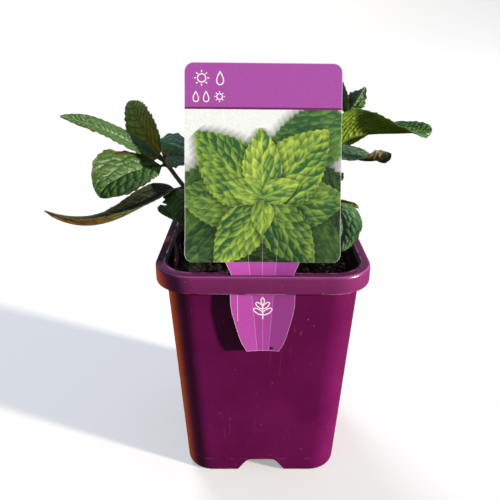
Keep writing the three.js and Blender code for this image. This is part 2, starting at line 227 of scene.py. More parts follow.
def smooth(mesh, sharp_from=None):
    """Smooth shading, apart from edges that turn by more than an angle in degrees."""
    mesh.polygons.foreach_set("use_smooth", [True] * len(mesh.polygons))
    if sharp_from:
        mesh.set_sharp_from_angle(angle=math.radians(sharp_from))


def mesh_object(name, points, faces, materials=(), sharp_from=None):
    """A mesh of the points in millimetres, smooth, at the origin."""
    mesh = bpy.data.meshes.new(name)
    mesh.from_pydata((np.asarray(points) * MM).tolist(), [], faces)
    for one in materials:
        mesh.materials.append(one)
    smooth(mesh, sharp_from)
    return new_object(name, mesh)


def finish_piece(piece, slot, *nodes):
    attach(piece, "root")
    if nodes:
        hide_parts(*nodes)


def make_camera():
    camera = new_object("camera", bpy.data.cameras.new("camera"))
    camera.data.sensor_width = SENSOR
    camera.data.lens = SENSOR * FOCAL_PIXELS / PICTURE_PIXELS
    camera.data.shift_x = (PICTURE_PIXELS / 2 - OPTICAL_AXIS_PIXEL) / PICTURE_PIXELS
    camera.data.clip_start = 0.01
    place = Matrix.Translation((0, -CAMERA_BACK * MM, CAMERA_HEIGHT * MM))
    aim = Matrix.Rotation(math.pi / 2 - CAMERA_PITCH, 4, "X") @ Matrix.Rotation(CAMERA_ROLL, 4, "Z")
    camera.matrix_world = Matrix.Rotation(-POT_YAW, 4, "Z") @ place @ aim
    bpy.context.scene.camera = camera


# Solids from rings and grids
def square_ring(half, radius, z, steps=12):
    """Points round a square with round corners."""
    angle = np.linspace(0, math.pi / 2, steps + 1)
    x = half - radius + radius * np.cos(angle)
    y = half - radius + radius * np.sin(angle)
    ring = np.concatenate([np.stack(side, 1) for side in [(x, y), (-y, x), (-x, -y), (y, -x)]])
    return np.column_stack([ring, np.full(len(ring), z)])


def rim_ring(half, z):
    return square_ring(half, RIM_RADIUS - (RIM_HALF - half), z)


def wall_ring(z, inset):
    outside = WALL_FOOT_HALF + (WALL_TOP_HALF - WALL_FOOT_HALF) * z / BAND_FOOT
    return square_ring(outside - inset, WALL_RADIUS - inset, z)


def loft(rings):
    """Points and faces of a closed body through rings, from its bottom to its top."""
    count = len(rings[0])
    faces = [list(range(count))[::-1]]
    for r in range(0, (len(rings) - 1) * count, count):
        for i in range(count):
            j = (i + 1) % count
            faces.append([r + i, r + j, r + count + j, r + count + i])
    faces.append(list(range((len(rings) - 1) * count, len(rings) * count)))
    return np.concatenate(rings), faces


def slab(rows, columns):
    """Faces of a thin closed body between two grids of points, and how many its front and back have each."""
    index = np.arange(rows * columns).reshape(rows, columns)
    quads = np.stack([index[:-1, :-1], index[:-1, 1:], index[1:, 1:], index[1:, :-1]], -1).reshape(-1, 4)
    loop = np.concatenate([index[0, :], index[1:, -1], index[-1, -2::-1], index[-2:0:-1, 0]])
    following = np.roll(loop, -1)
    under = rows * columns
    rim = np.stack([following, loop, loop + under, following + under], -1)
    return np.concatenate([quads, quads[:, ::-1] + under, rim]).tolist(), len(quads)


def prism(outline, length, across):
    """Points and faces of an outline in X and Z, drawn out along Y, or along X if across."""
    rings = []
    for y in (-length / 2, length / 2):
        ring = np.array([[x, y, z] for x, z in outline])
        rings.append(ring[:, [1, 0, 2]] if across else ring)
    return loft(rings if across else rings[::-1])


def box_points(low, high):
    x0, y0, z0 = low
    x1, y1, z1 = high
    return loft([np.array([[x0, y0, z], [x1, y0, z], [x1, y1, z], [x0, y1, z]]) for z in (z0, z1)])


def cylinder(radius, low, high, x, y, steps=28):
    angle = np.linspace(0, 2 * math.pi, steps, endpoint=False)
    circle = np.column_stack([x + radius * np.cos(angle), y + radius * np.sin(angle)])
    return loft([np.column_stack([circle, np.full(steps, z)]) for z in (low, high)])


def settle(piece):
    """Replaces a piece's mesh by what its modifiers make of it."""
    graph = bpy.context.evaluated_depsgraph_get()
    made = bpy.data.meshes.new_from_object(piece.evaluated_get(graph))
    piece.modifiers.clear()
    piece.data = made


def cut(piece, *bodies):
    """Cuts bodies out of a piece. Each is an object, or the points and faces of one."""
    for body in bodies:
        tool = body if isinstance(body, bpy.types.Object) else mesh_object("tool", *body)
        tool_mesh = tool.data
        change = piece.modifiers.new("cut", "BOOLEAN")
        change.operation = "DIFFERENCE"
        change.solver = "EXACT"
        change.object = tool
        settle(piece)
        bpy.data.objects.remove(tool)
        bpy.data.meshes.remove(tool_mesh)


def dress(piece, material, sharp_from):
    """Gives a cut piece its one material, and smooth shading between its edges."""
    piece.data.materials.clear()
    piece.data.materials.append(material)
    smooth(piece.data, sharp_from)


def quarter(steps=6):
    """Cosines and sines over a quarter turn."""
    angle = np.linspace(0, math.pi / 2, steps + 1)
    return list(zip(np.cos(angle), np.sin(angle)))


# Pot
def channels(margin):
    """The two crossing drainage channels under the pot, wider by a margin."""
    foot, roof, shoulder = CHANNEL_FOOT_HALF + margin, CHANNEL_HEIGHT + margin, CHANNEL_SHOULDER
    side = CHANNEL_ROOF_HALF + margin
    start, middle = (side + shoulder, roof - shoulder), (side + shoulder / 3, roof)
    end = (side - shoulder / 2, roof)
    half = [(foot, -1), (foot, 0)]
    for t in np.linspace(0, 1, 7):
        half.append([(1 - t) ** 2 * a + 2 * t * (1 - t) * b + t * t * c for a, b, c in zip(start, middle, end)])
    outline = half + [(-x, z) for x, z in half[::-1]]
    return [prism(outline, 2 * RIM_HALF, across) for across in (False, True)]


def make_pot(plastic):
    web = POT_HEIGHT - BAND_THICKNESS
    outer = [wall_ring(FOOT_ROUND * (1 - c), FOOT_ROUND * (1 - s)) for s, c in quarter()][::-1]
    outer += [wall_ring(z, 0) for z in np.linspace(FOOT_ROUND, BAND_FOOT, 9)[1:]]
    outer += [rim_ring(WALL_TOP_HALF + WEB_FILLET, web)]
    outer += [rim_ring(RIM_HALF - BAND_THICKNESS, z) for z in (web, BAND_FOOT)]
    outer += [rim_ring(RIM_HALF - inset, BAND_FOOT + rise) for inset, rise in BAND_ARRIS]
    outer += [rim_ring(RIM_HALF - RIM_ROUND * (1 - c), POT_HEIGHT - RIM_ROUND * (1 - s)) for c, s in quarter()]
    outer += [rim_ring(RIM_INNER_HALF + RIM_LAND, POT_HEIGHT)]
    inner = [wall_ring(WALL_THICKNESS + z, WALL_THICKNESS + FOOT_ROUND - z) for z in (0, FOOT_ROUND)]
    inner += [wall_ring(BAND_FOOT, WALL_THICKNESS)]
    inner += [rim_ring(RIM_INNER_HALF - MOUTH_ROUND * c, POT_HEIGHT - MOUTH_ROUND * (1 - s)) for c, s in quarter()]
    inner += [rim_ring(RIM_INNER_HALF, POT_HEIGHT + 1)]
    room = mesh_object("room", *loft(inner))
    cut(room, *channels(WALL_THICKNESS))
    slot = box_points((-SLOT_WIDTH / 2, -SLOT_FRONT, web - 0.5), (SLOT_WIDTH / 2, -SLOT_BACK, POT_HEIGHT + 1))
    drains = [(0, 0), (DRAIN_ARM, 0), (-DRAIN_ARM, 0), (0, DRAIN_ARM), (0, -DRAIN_ARM)]
    holes = [cylinder(DRAIN_RADIUS, CHANNEL_HEIGHT - 1, CHANNEL_HEIGHT + 4, x, y) for x, y in drains]
    pot = mesh_object("pot_shell", *loft(outer))
    cut(pot, *channels(0), room, slot, *holes)
    dress(pot, plastic, sharp_from=32)
    finish_piece(pot, "pot_plastic", "pot")


def pot_plastic():
    """Injection-moulded polypropylene: dark magenta, satin gloss, with scuffs and dust from the nursery.
    It also carries painted shade inside the rim and over its left side, and painted highlights on the rim's edges.
    """
    made, node = new_material("injection-moulded polypropylene")
    place = node("TexCoord").outputs["Object"]
    x, y, height = node("SeparateXYZ", [place]).outputs
    haze = node("TexNoise", [place, every(25), 4])
    broken = node("TexNoise", [place, every(6.67), 3])
    some = node("MapRange", [broken, 0.45, 0.65])

    # Distance outside the rim's inner edge, a square with round corners
    corner = RIM_INNER_HALF - (RIM_RADIUS - (RIM_HALF - RIM_INNER_HALF))
    level = node("VectorMath MULTIPLY", [place, (1, 1, 0)])
    folded = node("VectorMath ABSOLUTE", [level])
    outer = node("VectorMath SUBTRACT", [folded, (corner * MM, corner * MM, 0)])
    beyond = node("VectorMath MAXIMUM", [outer, (0, 0, 0)])
    reach = node("VectorMath LENGTH", [beyond])

    # The band is painted a paler magenta. Pale lines are where the pot rubs: the band's foot and the wall at the
    # height of the pot's floor. The line on the rim's lip is a burr with a painted highlight, and the line along
    # the rim's outer edge is a painted highlight. Each has its middle and half its width.
    band, foot_line, floor_line, highlight_height, lip, arris = [
        node("Math COMPARE", [along, middle * MM, half * MM]) for along, middle, half in [
            (height, (BAND_FOOT + POT_HEIGHT) / 2, BAND_HEIGHT / 2 - 0.4), (height, BAND_FOOT + 0.2, 0.28),
            (height, FLOOR_LINE, 0.12), (height, POT_HEIGHT - 0.45, 0.4),
            (reach, RIM_INNER_HALF - 0.1 - corner, 0.26), (reach, RIM_HALF - 0.6 - corner, 0.2)]]
    top = node("Math GREATER_THAN", [height, (POT_HEIGHT - 0.6) * MM])
    # The lip line: a burr, with a painted highlight on it
    lip_burr_and_highlight = node("Math MULTIPLY", [lip, top])
    # Painted highlight along the rim's outer edge
    painted_arris_highlight = node("Math MULTIPLY", [highlight_height, arris])

    # Painted shade: the inside of the wall, from the rim down into the mix, is painted near black
    room = node("MapRange", [
        height, BAND_FOOT * MM, (BAND_FOOT + 3) * MM, (WALL_TOP_HALF - 0.9 - corner) * MM,
        (RIM_INNER_HALF - 0.5 - corner) * MM])
    inside = node("Math LESS_THAN", [reach, room])
    above = node("Math GREATER_THAN", [height, (MIX_TOP - MIX_CRUST) * MM])
    painted_shade_inside = node("Math MULTIPLY", [inside, above])

    # Painted shade: the rim's left side is painted near black, with a painted patch of orange light through the
    # plastic at its outer edge
    left = node("MapRange", [x, -44 * MM, -46 * MM])
    back = node("MapRange", [y, -37 * MM, -32 * MM])
    side = node("Math MULTIPLY", [left, back])
    painted_shade_left = node("Math MULTIPLY", [side, top])
    apart = node("VectorMath DISTANCE", [place, (-48.5 * MM, -6 * MM, POT_HEIGHT * MM)])
    torn = node("Math MULTIPLY_ADD", [broken, 34 * MM, apart])
    light_patch = node("MapRange", [torn, 23 * MM, 21 * MM])
    outside = node("MapRange", [reach, (RIM_INNER_HALF + 0.6 - corner) * MM, (RIM_INNER_HALF + 1.4 - corner) * MM])
    held = node("Math MULTIPLY", [outside, painted_shade_left])
    painted_orange_light = node("Math MULTIPLY", [light_patch, held])
    coats = [(band, 0.3, "#964684"), (painted_shade_inside, 0.97, "#0E090A"), (painted_arris_highlight, 0.3, "#B07CAE"), (painted_shade_left, 0.88, "#1E0C14"),
             (painted_orange_light, 0.85, "#7E3D17")]
    for line, most in ((foot_line, 0.75), (floor_line, 0.3), (lip_burr_and_highlight, 0.8)):
        coats.append((node("Math MULTIPLY", [line, some]), most, "#D6A9CB"))

    # Dust specks of about 0.3 mm
    specks = node("TexVoronoi", [place, every(2.63)])
    speck = node("Math LESS_THAN", [specks, 0.085])
    lot = node("SeparateColor", [specks.outputs["Color"]])
    rare = node("Math GREATER_THAN", [lot, 0.87])
    coats.append((node("Math MULTIPLY", [speck, rare]), 0.5, "#C9B3BC"))

    # Hairline scratches, a few millimetres long, in three directions
    for turn, shift in ((0.9, 0), (-0.7, 3), (2.1, 7)):
        drawn = node("Mapping", [place, (shift, 0, 0), (turn, turn * 0.9, 0.3), (1, 1, 0.07)])
        swirl, patch = [node("TexNoise", [drawn, every(size), 0]) for size in (11.1, 1.111)]
        line = node("Math COMPARE", [swirl, 0.5, 0.0025])
        where = node("Math GREATER_THAN", [patch, 0.66])
        coats.append((node("Math MULTIPLY", [line, where]), 0.1, "#C79ABA"))
    colour = paint(node, node("ValToRGB", [haze], [(0.35, "#5C0847"), (0.7, "#690D52")]), coats)

    # Gloss and the mould's faint waves
    rough = node("MapRange", [haze, 0, 1, 0.22, 0.38])
    dull = node("Math MULTIPLY_ADD", [painted_shade_left, 0.5, rough])
    wave = node("TexNoise", [place, every(55.6), 1])
    sink = node("Bump", {"Height": wave, "Strength": 0.25, "Distance": 0.002})
    fine = node("TexNoise", [place, every(1.111), 2])
    bump = node("Bump", {"Height": fine, "Strength": 0.08, "Distance": 0.0003, "Normal": sink})
    node("OutputMaterial", [node("BsdfPrincipled", {
        "Base Color": colour, "Roughness": dull, "Normal": bump, "IOR": 1.49, "Subsurface Weight": 0.06,
        "Subsurface Radius": (1, 0.2, 0.6), "Subsurface Scale": 0.0015})])
    return made


# Potting mix
def mix_top(x, y):
    broad = math.sin(0.31 * x + 1.3) * math.cos(0.27 * y - 0.6)
    fine = math.sin(0.53 * x - 0.47 * y + 2.1)
    return MIX_TOP + MIX_LUMP * (broad + 0.6 * fine)


def make_mix(peat):
    inset = WALL_THICKNESS + MIX_GAP
    rings = [wall_ring(inset + z, inset + FOOT_ROUND - z) for z in (0, FOOT_ROUND)]
    edge = wall_ring(MIX_TOP - 3 * MIX_LUMP, inset)
    for share in np.linspace(1, 0.02, 44):
        ring = edge * (share, share, 0)
        for p in ring:
            rough = noise.fractal(Vector((p[0], p[1], 3)) * 0.35, 0.8, 2.1, 4)
            p[2] = mix_top(p[0], p[1]) + MIX_ROUGH * rough - (MIX_LUMP if share == 1 else 0)
        rings.append(ring)
    mix = mesh_object("mix_block", *loft(rings))
    cut(mix, *channels(inset))
    dress(mix, peat, sharp_from=40)
    finish_piece(mix, "potting_mix", "potting_mix")
    return mix


def crumb_tree(peat):
    """Scatters crumbs over the mix: small round ones, larger lumps and flat bark flakes."""
    tree, node, given = new_group("mix crumbs", "GeometryNodeTree", {
        "Geometry": "Geometry", "Crumb size": "Float", "Crumbs per square metre": "Float", "Seed": "Int",
    }, "Geometry")
    up, high = [node("SeparateXYZ", [node(kind)]).outputs["Z"]
                for kind in ("GeometryNodeInputNormal", "GeometryNodeInputPosition")]
    facing = node("FunctionNodeCompare GREATER_THAN", [up, 0.4])
    above = node("FunctionNodeCompare GREATER_THAN", [high, (MIX_TOP - MIX_CRUST) * MM])
    both = node("FunctionNodeBooleanMath AND", [facing, above])
    joined = node("GeometryNodeJoinGeometry")

    # Share of the crumbs, rounding, size, and the least and most that a crumb is stretched
    kinds = [(1.0, 1, 0.55, (0.6, 0.5, 0.45), (1.1, 1.0, 0.9)), (0.16, 2, 1.1, (0.6, 0.6, 0.5), (1.2, 1.0, 0.8)),
             (0.1, 1, 1.3, (1.3, 0.25, 0.12), (3.0, 0.6, 0.25))]
    for k, (share, rounding, size, least, most) in enumerate(kinds):
        seed = node("Math ADD", [given["Seed"], float(k)])
        density = node("Math MULTIPLY", [given["Crumbs per square metre"], share])
        spots = node("GeometryNodeDistributePointsOnFaces", {
            "Mesh": given["Geometry"], "Selection": both, "Density": density, "Seed": seed})
        radius = node("Math MULTIPLY", [given["Crumb size"], size])
        ball = node("GeometryNodeMeshIcoSphere", {"Radius": radius, "Subdivisions": rounding})
        stretch, turn = [
            node("FunctionNodeRandomValue", {"Min": low, "Max": high, "Seed": seed}, data_type="FLOAT_VECTOR")
            for low, high in ((least, most), ((-0.5, -0.5, 0), (0.5, 0.5, 6.28)))]
        copies = node("GeometryNodeInstanceOnPoints", {
            "Points": spots, "Instance": ball, "Rotation": turn, "Scale": stretch})
        shade = node("FunctionNodeRandomValue", {2: 0.0, 3: 1.0, "Seed": seed})
        named = node("GeometryNodeStoreNamedAttribute", {
            "Geometry": copies, "Name": "crumb_shade", "Value": shade}, domain="INSTANCE")
        tree.links.new(named.outputs[0], joined.inputs[0])
    real = node("GeometryNodeRealizeInstances", [joined])
    lumpy = node("TexNoise", {"Scale": every(0.833), "Detail": 1}).outputs["Color"]
    centred = node("VectorMath SUBTRACT", [lumpy, (0.5, 0.5, 0.5)])
    push = node("VectorMath SCALE", [centred, 1.2 * MM])
    bumpy = node("GeometryNodeSetPosition", {"Geometry": real, "Offset": push})
    node("NodeGroupOutput", [node("GeometryNodeSetMaterial", {"Geometry": bumpy, "Material": peat})])
    return tree


def grow(piece, tree, values):
    """Replaces a piece's mesh by what a Geometry Nodes tree makes of it, with the given inputs."""
    growth = piece.modifiers.new("growth", "NODES")
    growth.node_group = tree
    for item in tree.interface.items_tree:
        if item.in_out == "INPUT" and item.name in values:
            growth[item.identifier] = values[item.name]
    settle(piece)


def make_crumbs(mix, peat):
    crumbs = new_object("mix_crumbs", mix.data.copy())
    grow(crumbs, crumb_tree(peat), {"Crumb size": 1.0 * MM, "Crumbs per square metre": 420000.0, "Seed": 11})
    finish_piece(crumbs, "potting_mix")


def peat_and_bark():
    """Damp peat and composted bark: matt, nearly black in the gaps, brown on the crumbs, with painted shade towards
    the left and painted light towards the right.
    """
    made, node = new_material("peat and bark")
    place = node("TexCoord").outputs["Object"]
    shade = node("Attribute", attribute_name="crumb_shade").outputs["Fac"]
    grain = node("TexNoise", [place, every(3.85), 5, 0.65])
    tone = node("Math MULTIPLY_ADD", [shade, 0.45, grain])
    # Painted shade darkens the mix towards the left; the palest crumbs, towards the right, are painted light
    painted_shade_to_left = node("MapRange", [node("SeparateXYZ", [place]).outputs["X"], -30 * MM, 25 * MM, -0.35, 0.02])
    tone_with_painted_shade = node("Math ADD", [tone, painted_shade_to_left])
    colour = node("ValToRGB", [tone_with_painted_shade], [(0.3, "#0D0806"), (0.6, "#271A12"), (0.8, "#54412F"), (1.0, "#A08C74")])
    bump = node("Bump", {"Height": grain, "Strength": 0.7, "Distance": 0.0006})
    node("OutputMaterial", [node("BsdfPrincipled", {
        "Base Color": colour, "Roughness": 0.92, "Normal": bump, "IOR": 1.4})])
    return made


# Label
def label_point(x, s, lift):
    """A point of the label's front, lift in front of it: x across, s along from the tail's end."""
    lean = min(max(s - TAIL_LENGTH, 0) / LABEL_BEND_RADIUS, LABEL_LEAN)
    straight = max(s - BEND_END, 0)
    y = LABEL_Y + LABEL_BEND_RADIUS * (1 - math.cos(lean)) + straight * math.sin(lean)
    z = min(s, TAIL_LENGTH) + LABEL_END_Z + LABEL_BEND_RADIUS * math.sin(lean) + straight * math.cos(lean)
    score = SCORE_AT_END + (SCORE_AT_CARD - SCORE_AT_END) * s / CARD_START
    fade = min(max((CARD_START + VALLEY_FADE - s) / VALLEY_FADE, 0), 1)
    out = lift + VALLEY * fade * fade * (max(abs(x) - score, 0) / VALLEY_REACH - VALLEY_LEVEL)
    return x - LABEL_SHIFT * min(s / CARD_START, 1), y - out * math.cos(lean), z + out * math.sin(lean)


def make_label(front, back, edge):
    card_end = CARD_START + CARD_HEIGHT
    tail = np.linspace(0, CARD_START - 0.05, 90)
    straight = np.linspace(CARD_START + CARD_RADIUS, card_end - CARD_RADIUS, 60)[1:-1]
    corner = [(CARD_RADIUS * (1 - c), CARD_HALF - CARD_RADIUS * (1 - s)) for c, s in quarter(10)]
    rows = list(zip(tail, np.interp(tail, *zip(*TAIL))))
    rows += [(CARD_START + rise, half) for rise, half in corner] + [(s, CARD_HALF) for s in straight]
    rows += [(card_end - rise, half) for rise, half in corner[::-1]]
    across = np.linspace(-1, 1, 57)
    flat = np.array([[(q * half, s) for q in across] for s, half in rows])
    lifts = (LABEL_THICKNESS / 2, -LABEL_THICKNESS / 2)
    grids = [np.array([[label_point(x, s, lift) for x, s in row] for row in flat]) for lift in lifts]
    faces, count = slab(len(rows), len(across))
    label = mesh_object("label_card", np.concatenate([grid.reshape(-1, 3) for grid in grids]), faces,
                        [front, back, edge], sharp_from=40)
    label.data.polygons.foreach_set("material_index", [0] * count + [1] * count + [2] * (len(faces) - 2 * count))
    card = label.data.attributes.new("card", "FLOAT_VECTOR", "POINT")
    border = [[min((1 - abs(q)) * half, s, card_end - s) for q in across] for s, half in rows]
    place = np.column_stack([flat.reshape(-1, 2) - (0, CARD_START), np.ravel(border)])
    card.data.foreach_set("vector", np.concatenate([place, place]).ravel())
    finish_piece(label, "label_card", "plant_label")


# Signs: strokes of white ink on the card, each placed by its middle, across and up the card, with its line's width
def stroke(points, width, closed=False):
    """Left and right edges of a flat line of ink along points, and whether it closes on itself."""
    points = np.array(points, float)
    ahead = np.roll(points, -1, 0) - np.roll(points, 1, 0)
    if not closed:
        ahead[0] = points[1] - points[0]
        ahead[-1] = points[-1] - points[-2]
    side = np.column_stack([-ahead[:, 1], ahead[:, 0]])
    side *= width / 2 / np.linalg.norm(side, axis=1)[:, None]
    return points + side, points - side, closed


def sun(x, y, radius, width):
    """A circle with eight rays."""
    turn = np.radians(np.linspace(0, 360, 37))[:-1]
    strokes = [stroke(np.column_stack([x + radius * np.cos(turn), y + radius * np.sin(turn)]), width, closed=True)]
    for ray in range(8):
        angle = ray * math.pi / 4
        ends = [(x + r * math.cos(angle), y + r * math.sin(angle)) for r in (radius * RAY_START, radius * RAY_END)]
        strokes.append(stroke(ends, width))
    return strokes


def drop(x, y, height, width):
    """The outline of a drop of water."""
    turn = np.linspace(0, 2 * math.pi, 40, endpoint=False)
    out = 0.36 * height * np.sin(turn) * np.sin(turn / 2) ** 1.3
    return [stroke(np.column_stack([x + out, y + height / 2 * np.cos(turn)]), width, closed=True)]


def sprig(x, y, size, width):
    """An upright stem with pairs of plain oval leaves."""
    strokes = [stroke([(x, y + size * rise) for rise in np.linspace(-0.5, 0.25, 12)], width)]
    turn = np.linspace(0, 2 * math.pi, 24, endpoint=False)
    for height, length, ways in [(-0.25, 0.5, (145, 35)), (0.05, 0.42, (135, 45)), (0.25, 0.34, (90,))]:
        along = size * length * (1 - np.cos(turn)) / 2
        off = size * length * 0.22 * np.sin(turn)
        for way in ways:
            angle = math.radians(way)
            strokes.append(stroke(np.column_stack([
                x + along * math.cos(angle) - off * math.sin(angle),
                y + size * height + along * math.sin(angle) + off * math.cos(angle)]), width, closed=True))
    return strokes


def make_signs(ink):
    """Plain care signs in the header, and a sprig on the tail."""
    strokes = sun(-26.5, 78.8, 1.75, 0.5) + drop(-18.6, 78.8, 5.6, 0.5)
    strokes += drop(-29, 71, 4.4, 0.45) + drop(-24.6, 71, 4.4, 0.45) + sun(-18.8, 71, 1.2, 0.45)
    strokes += sprig(0, -23.2, 10, 0.55)
    points, faces = [], []
    for number, (left, right, closed) in enumerate(strokes):
        count, start, ink_height = len(left), len(points), INK_HEIGHT + INK_STEP * (number % 6)
        for edge, lift in ((left, ink_height), (right, ink_height), (right, -INK_DEPTH), (left, -INK_DEPTH)):
            points += [label_point(x, y + CARD_START, LABEL_THICKNESS / 2 + lift) for x, y in edge]
        for i in range(count if closed else count - 1):
            j = (i + 1) % count
            for a in range(4):
                b = (a + 1) % 4
                faces.append([start + k for k in (a * count + i, b * count + i, b * count + j, a * count + j)])
        if not closed:
            faces.append([start + a * count for a in (3, 2, 1, 0)])
            faces.append([start + a * count + count - 1 for a in (0, 1, 2, 3)])
    finish_piece(mesh_object("label_signs", points, faces, [ink], sharp_from=40), "label_card")


def printed_leaf():
    """Node group that paints one quilted leaf over what is below it, in millimetres on the card."""
    tree, node, given = new_group("printed leaf", "ShaderNodeTree", {
        "Card": "Vector", "Below": "Color", "Base": "Vector", "Angle": "Float", "Length": "Float", "Width": "Float",
        "Light": "Color", "Dark": "Color", "Quilt": "Float"}, "Color")

    # Place on the leaf: from its base along it, and to its left
    local = node("VectorMath SUBTRACT", [given["Card"], given["Base"]])
    back = node("Math MULTIPLY", [given["Angle"], -1.0])
    turned = node("VectorRotate", {"Vector": local, "Angle": back}, rotation_type="Z_AXIS")
    x, y, _ = node("SeparateXYZ", [turned]).outputs
    off = node("Math ABSOLUTE", [y])

    # Toothed outline: how far inside it a place is, as a share of the leaf's half width
    share = node("Math DIVIDE", [x, given["Length"]], use_clamp=True)
    power = node("Math POWER", [share, 0.74])
    half_turn = node("Math MULTIPLY", [power, math.pi])
    wave = node("Math SINE", [half_turn], use_clamp=True)
    profile = node("Math POWER", [wave, 0.8])
    teeth = node("Math PINGPONG", [x, 1.25])
    toothed = node("Math MULTIPLY_ADD", [teeth, 0.05, profile])
    reach = node("Math DIVIDE", [off, given["Width"]])
    wide = node("Math MULTIPLY", [reach, 2.0])
    inside = node("Math SUBTRACT", [toothed, wide])
    sharp = node("Math MULTIPLY", [inside, 22.0], use_clamp=True)
    begun = node("Math GREATER_THAN", [share, 0.001])
    ended = node("Math LESS_THAN", [share, 0.999])
    along = node("Math MULTIPLY", [begun, ended])
    mask = node("Math MULTIPLY", [sharp, along])

    # Quilting: cells that slant with the side veins, lit from one side, with dark seams
    slant = node("Math MULTIPLY_ADD", [off, -0.8, x])
    row = node("Math DIVIDE", [slant, 4.4])
    column = node("Math DIVIDE", [y, 2.6])
    cells = node("CombineXYZ", [row, column])
    quilt, seams = [
        node("TexVoronoi", {"Vector": cells, "Scale": 1, "Randomness": 0.7}, voronoi_dimensions="2D", feature=what)
        for what in ("SMOOTH_F1", "DISTANCE_TO_EDGE")]
    inner = node("VectorMath SUBTRACT", [cells, quilt.outputs["Position"]])
    lit = node("VectorMath DOT_PRODUCT", [inner, (0.55, 0.75, 0)])
    seam = node("MapRange", [seams, 0, 0.22, -0.42, 0.06])
    pillow = node("Math MULTIPLY_ADD", [lit, 1.05, seam])
    quilted = node("Math MULTIPLY", [pillow, given["Quilt"]])

    # Tone: one half lighter than the other, soft clouds, a pale midrib and a pale margin
    side = node("Math MULTIPLY", [y, 0.5], use_clamp=True)
    halves = node("MapRange", [side, 0, 1, 0.28, 0.52])
    soft = node("TexNoise", [given["Card"], 0.09, 2])
    cloud = node("MapRange", [soft, 0.3, 0.7, -0.25, 0.25])
    tone = node("Math ADD", [halves, cloud])
    rib = node("MapRange", [off, 0.2, 0.9, 0.35, 0.0])
    margin = node("MapRange", [inside, 0.02, 0.1, 0.25, 0.0])
    for more in (quilted, rib, margin):
        tone = node("Math ADD", [tone, more], use_clamp=True)
    painted = node("Mix", [tone, given["Dark"], given["Light"]], data_type="RGBA")

    # The leaf throws a soft shadow on what is below it
    near = node("Math MULTIPLY_ADD", [inside, 3.5, 1.0], use_clamp=True)
    cast = node("Math MULTIPLY", [near, along])
    shadow = paint(node, given["Below"], [(cast, 0.55, "#12230F")])
    node("NodeGroupOutput", [node("Mix", [mask, shadow, painted], data_type="RGBA")])
    return tree


# The printed sprig: base, angle, length and width in millimetres and degrees, its light and dark greens, quilting
PRINTED_LEAVES = [
    ((-44, -2), 52, 62, 40, "#557C34", "#1C3A1C", 0.7),
    ((42, -8), 116, 62, 38, "#4E7430", "#183018", 0.7),
    ((38, 60), -158, 42, 26, "#74A044", "#2A5630", 0.8),
    ((-28, 2), 4, 56, 28, "#3F622C", "#122412", 0.8),
    ((-2, 24), 172, 36, 23, "#86A846", "#25502A", 0.9),
    ((1, 24), 6, 36, 23, "#8CAE46", "#27532C", 0.9),
    ((0, 26), 134, 42, 27, "#9CBC48", "#2A5A2E", 1.0),
    ((0, 26), 48, 42, 27, "#AECA4C", "#2E6030", 1.0),
    ((-1, 24), -128, 32, 20, "#A0BE48", "#28562E", 1.0),
    ((1, 24), -50, 33, 21, "#86A844", "#204826", 1.0),
    ((0, 30), 92, 28, 17, "#BDD656", "#366C36", 1.0),
    ((0, 28), 158, 17, 11, "#B2CE52", "#326634", 0.8),
    ((0, 28), 24, 17, 11, "#C0D85A", "#366C36", 0.8),
    ((0, 27), -92, 15, 10, "#ACC84E", "#2E5E30", 0.8),
]


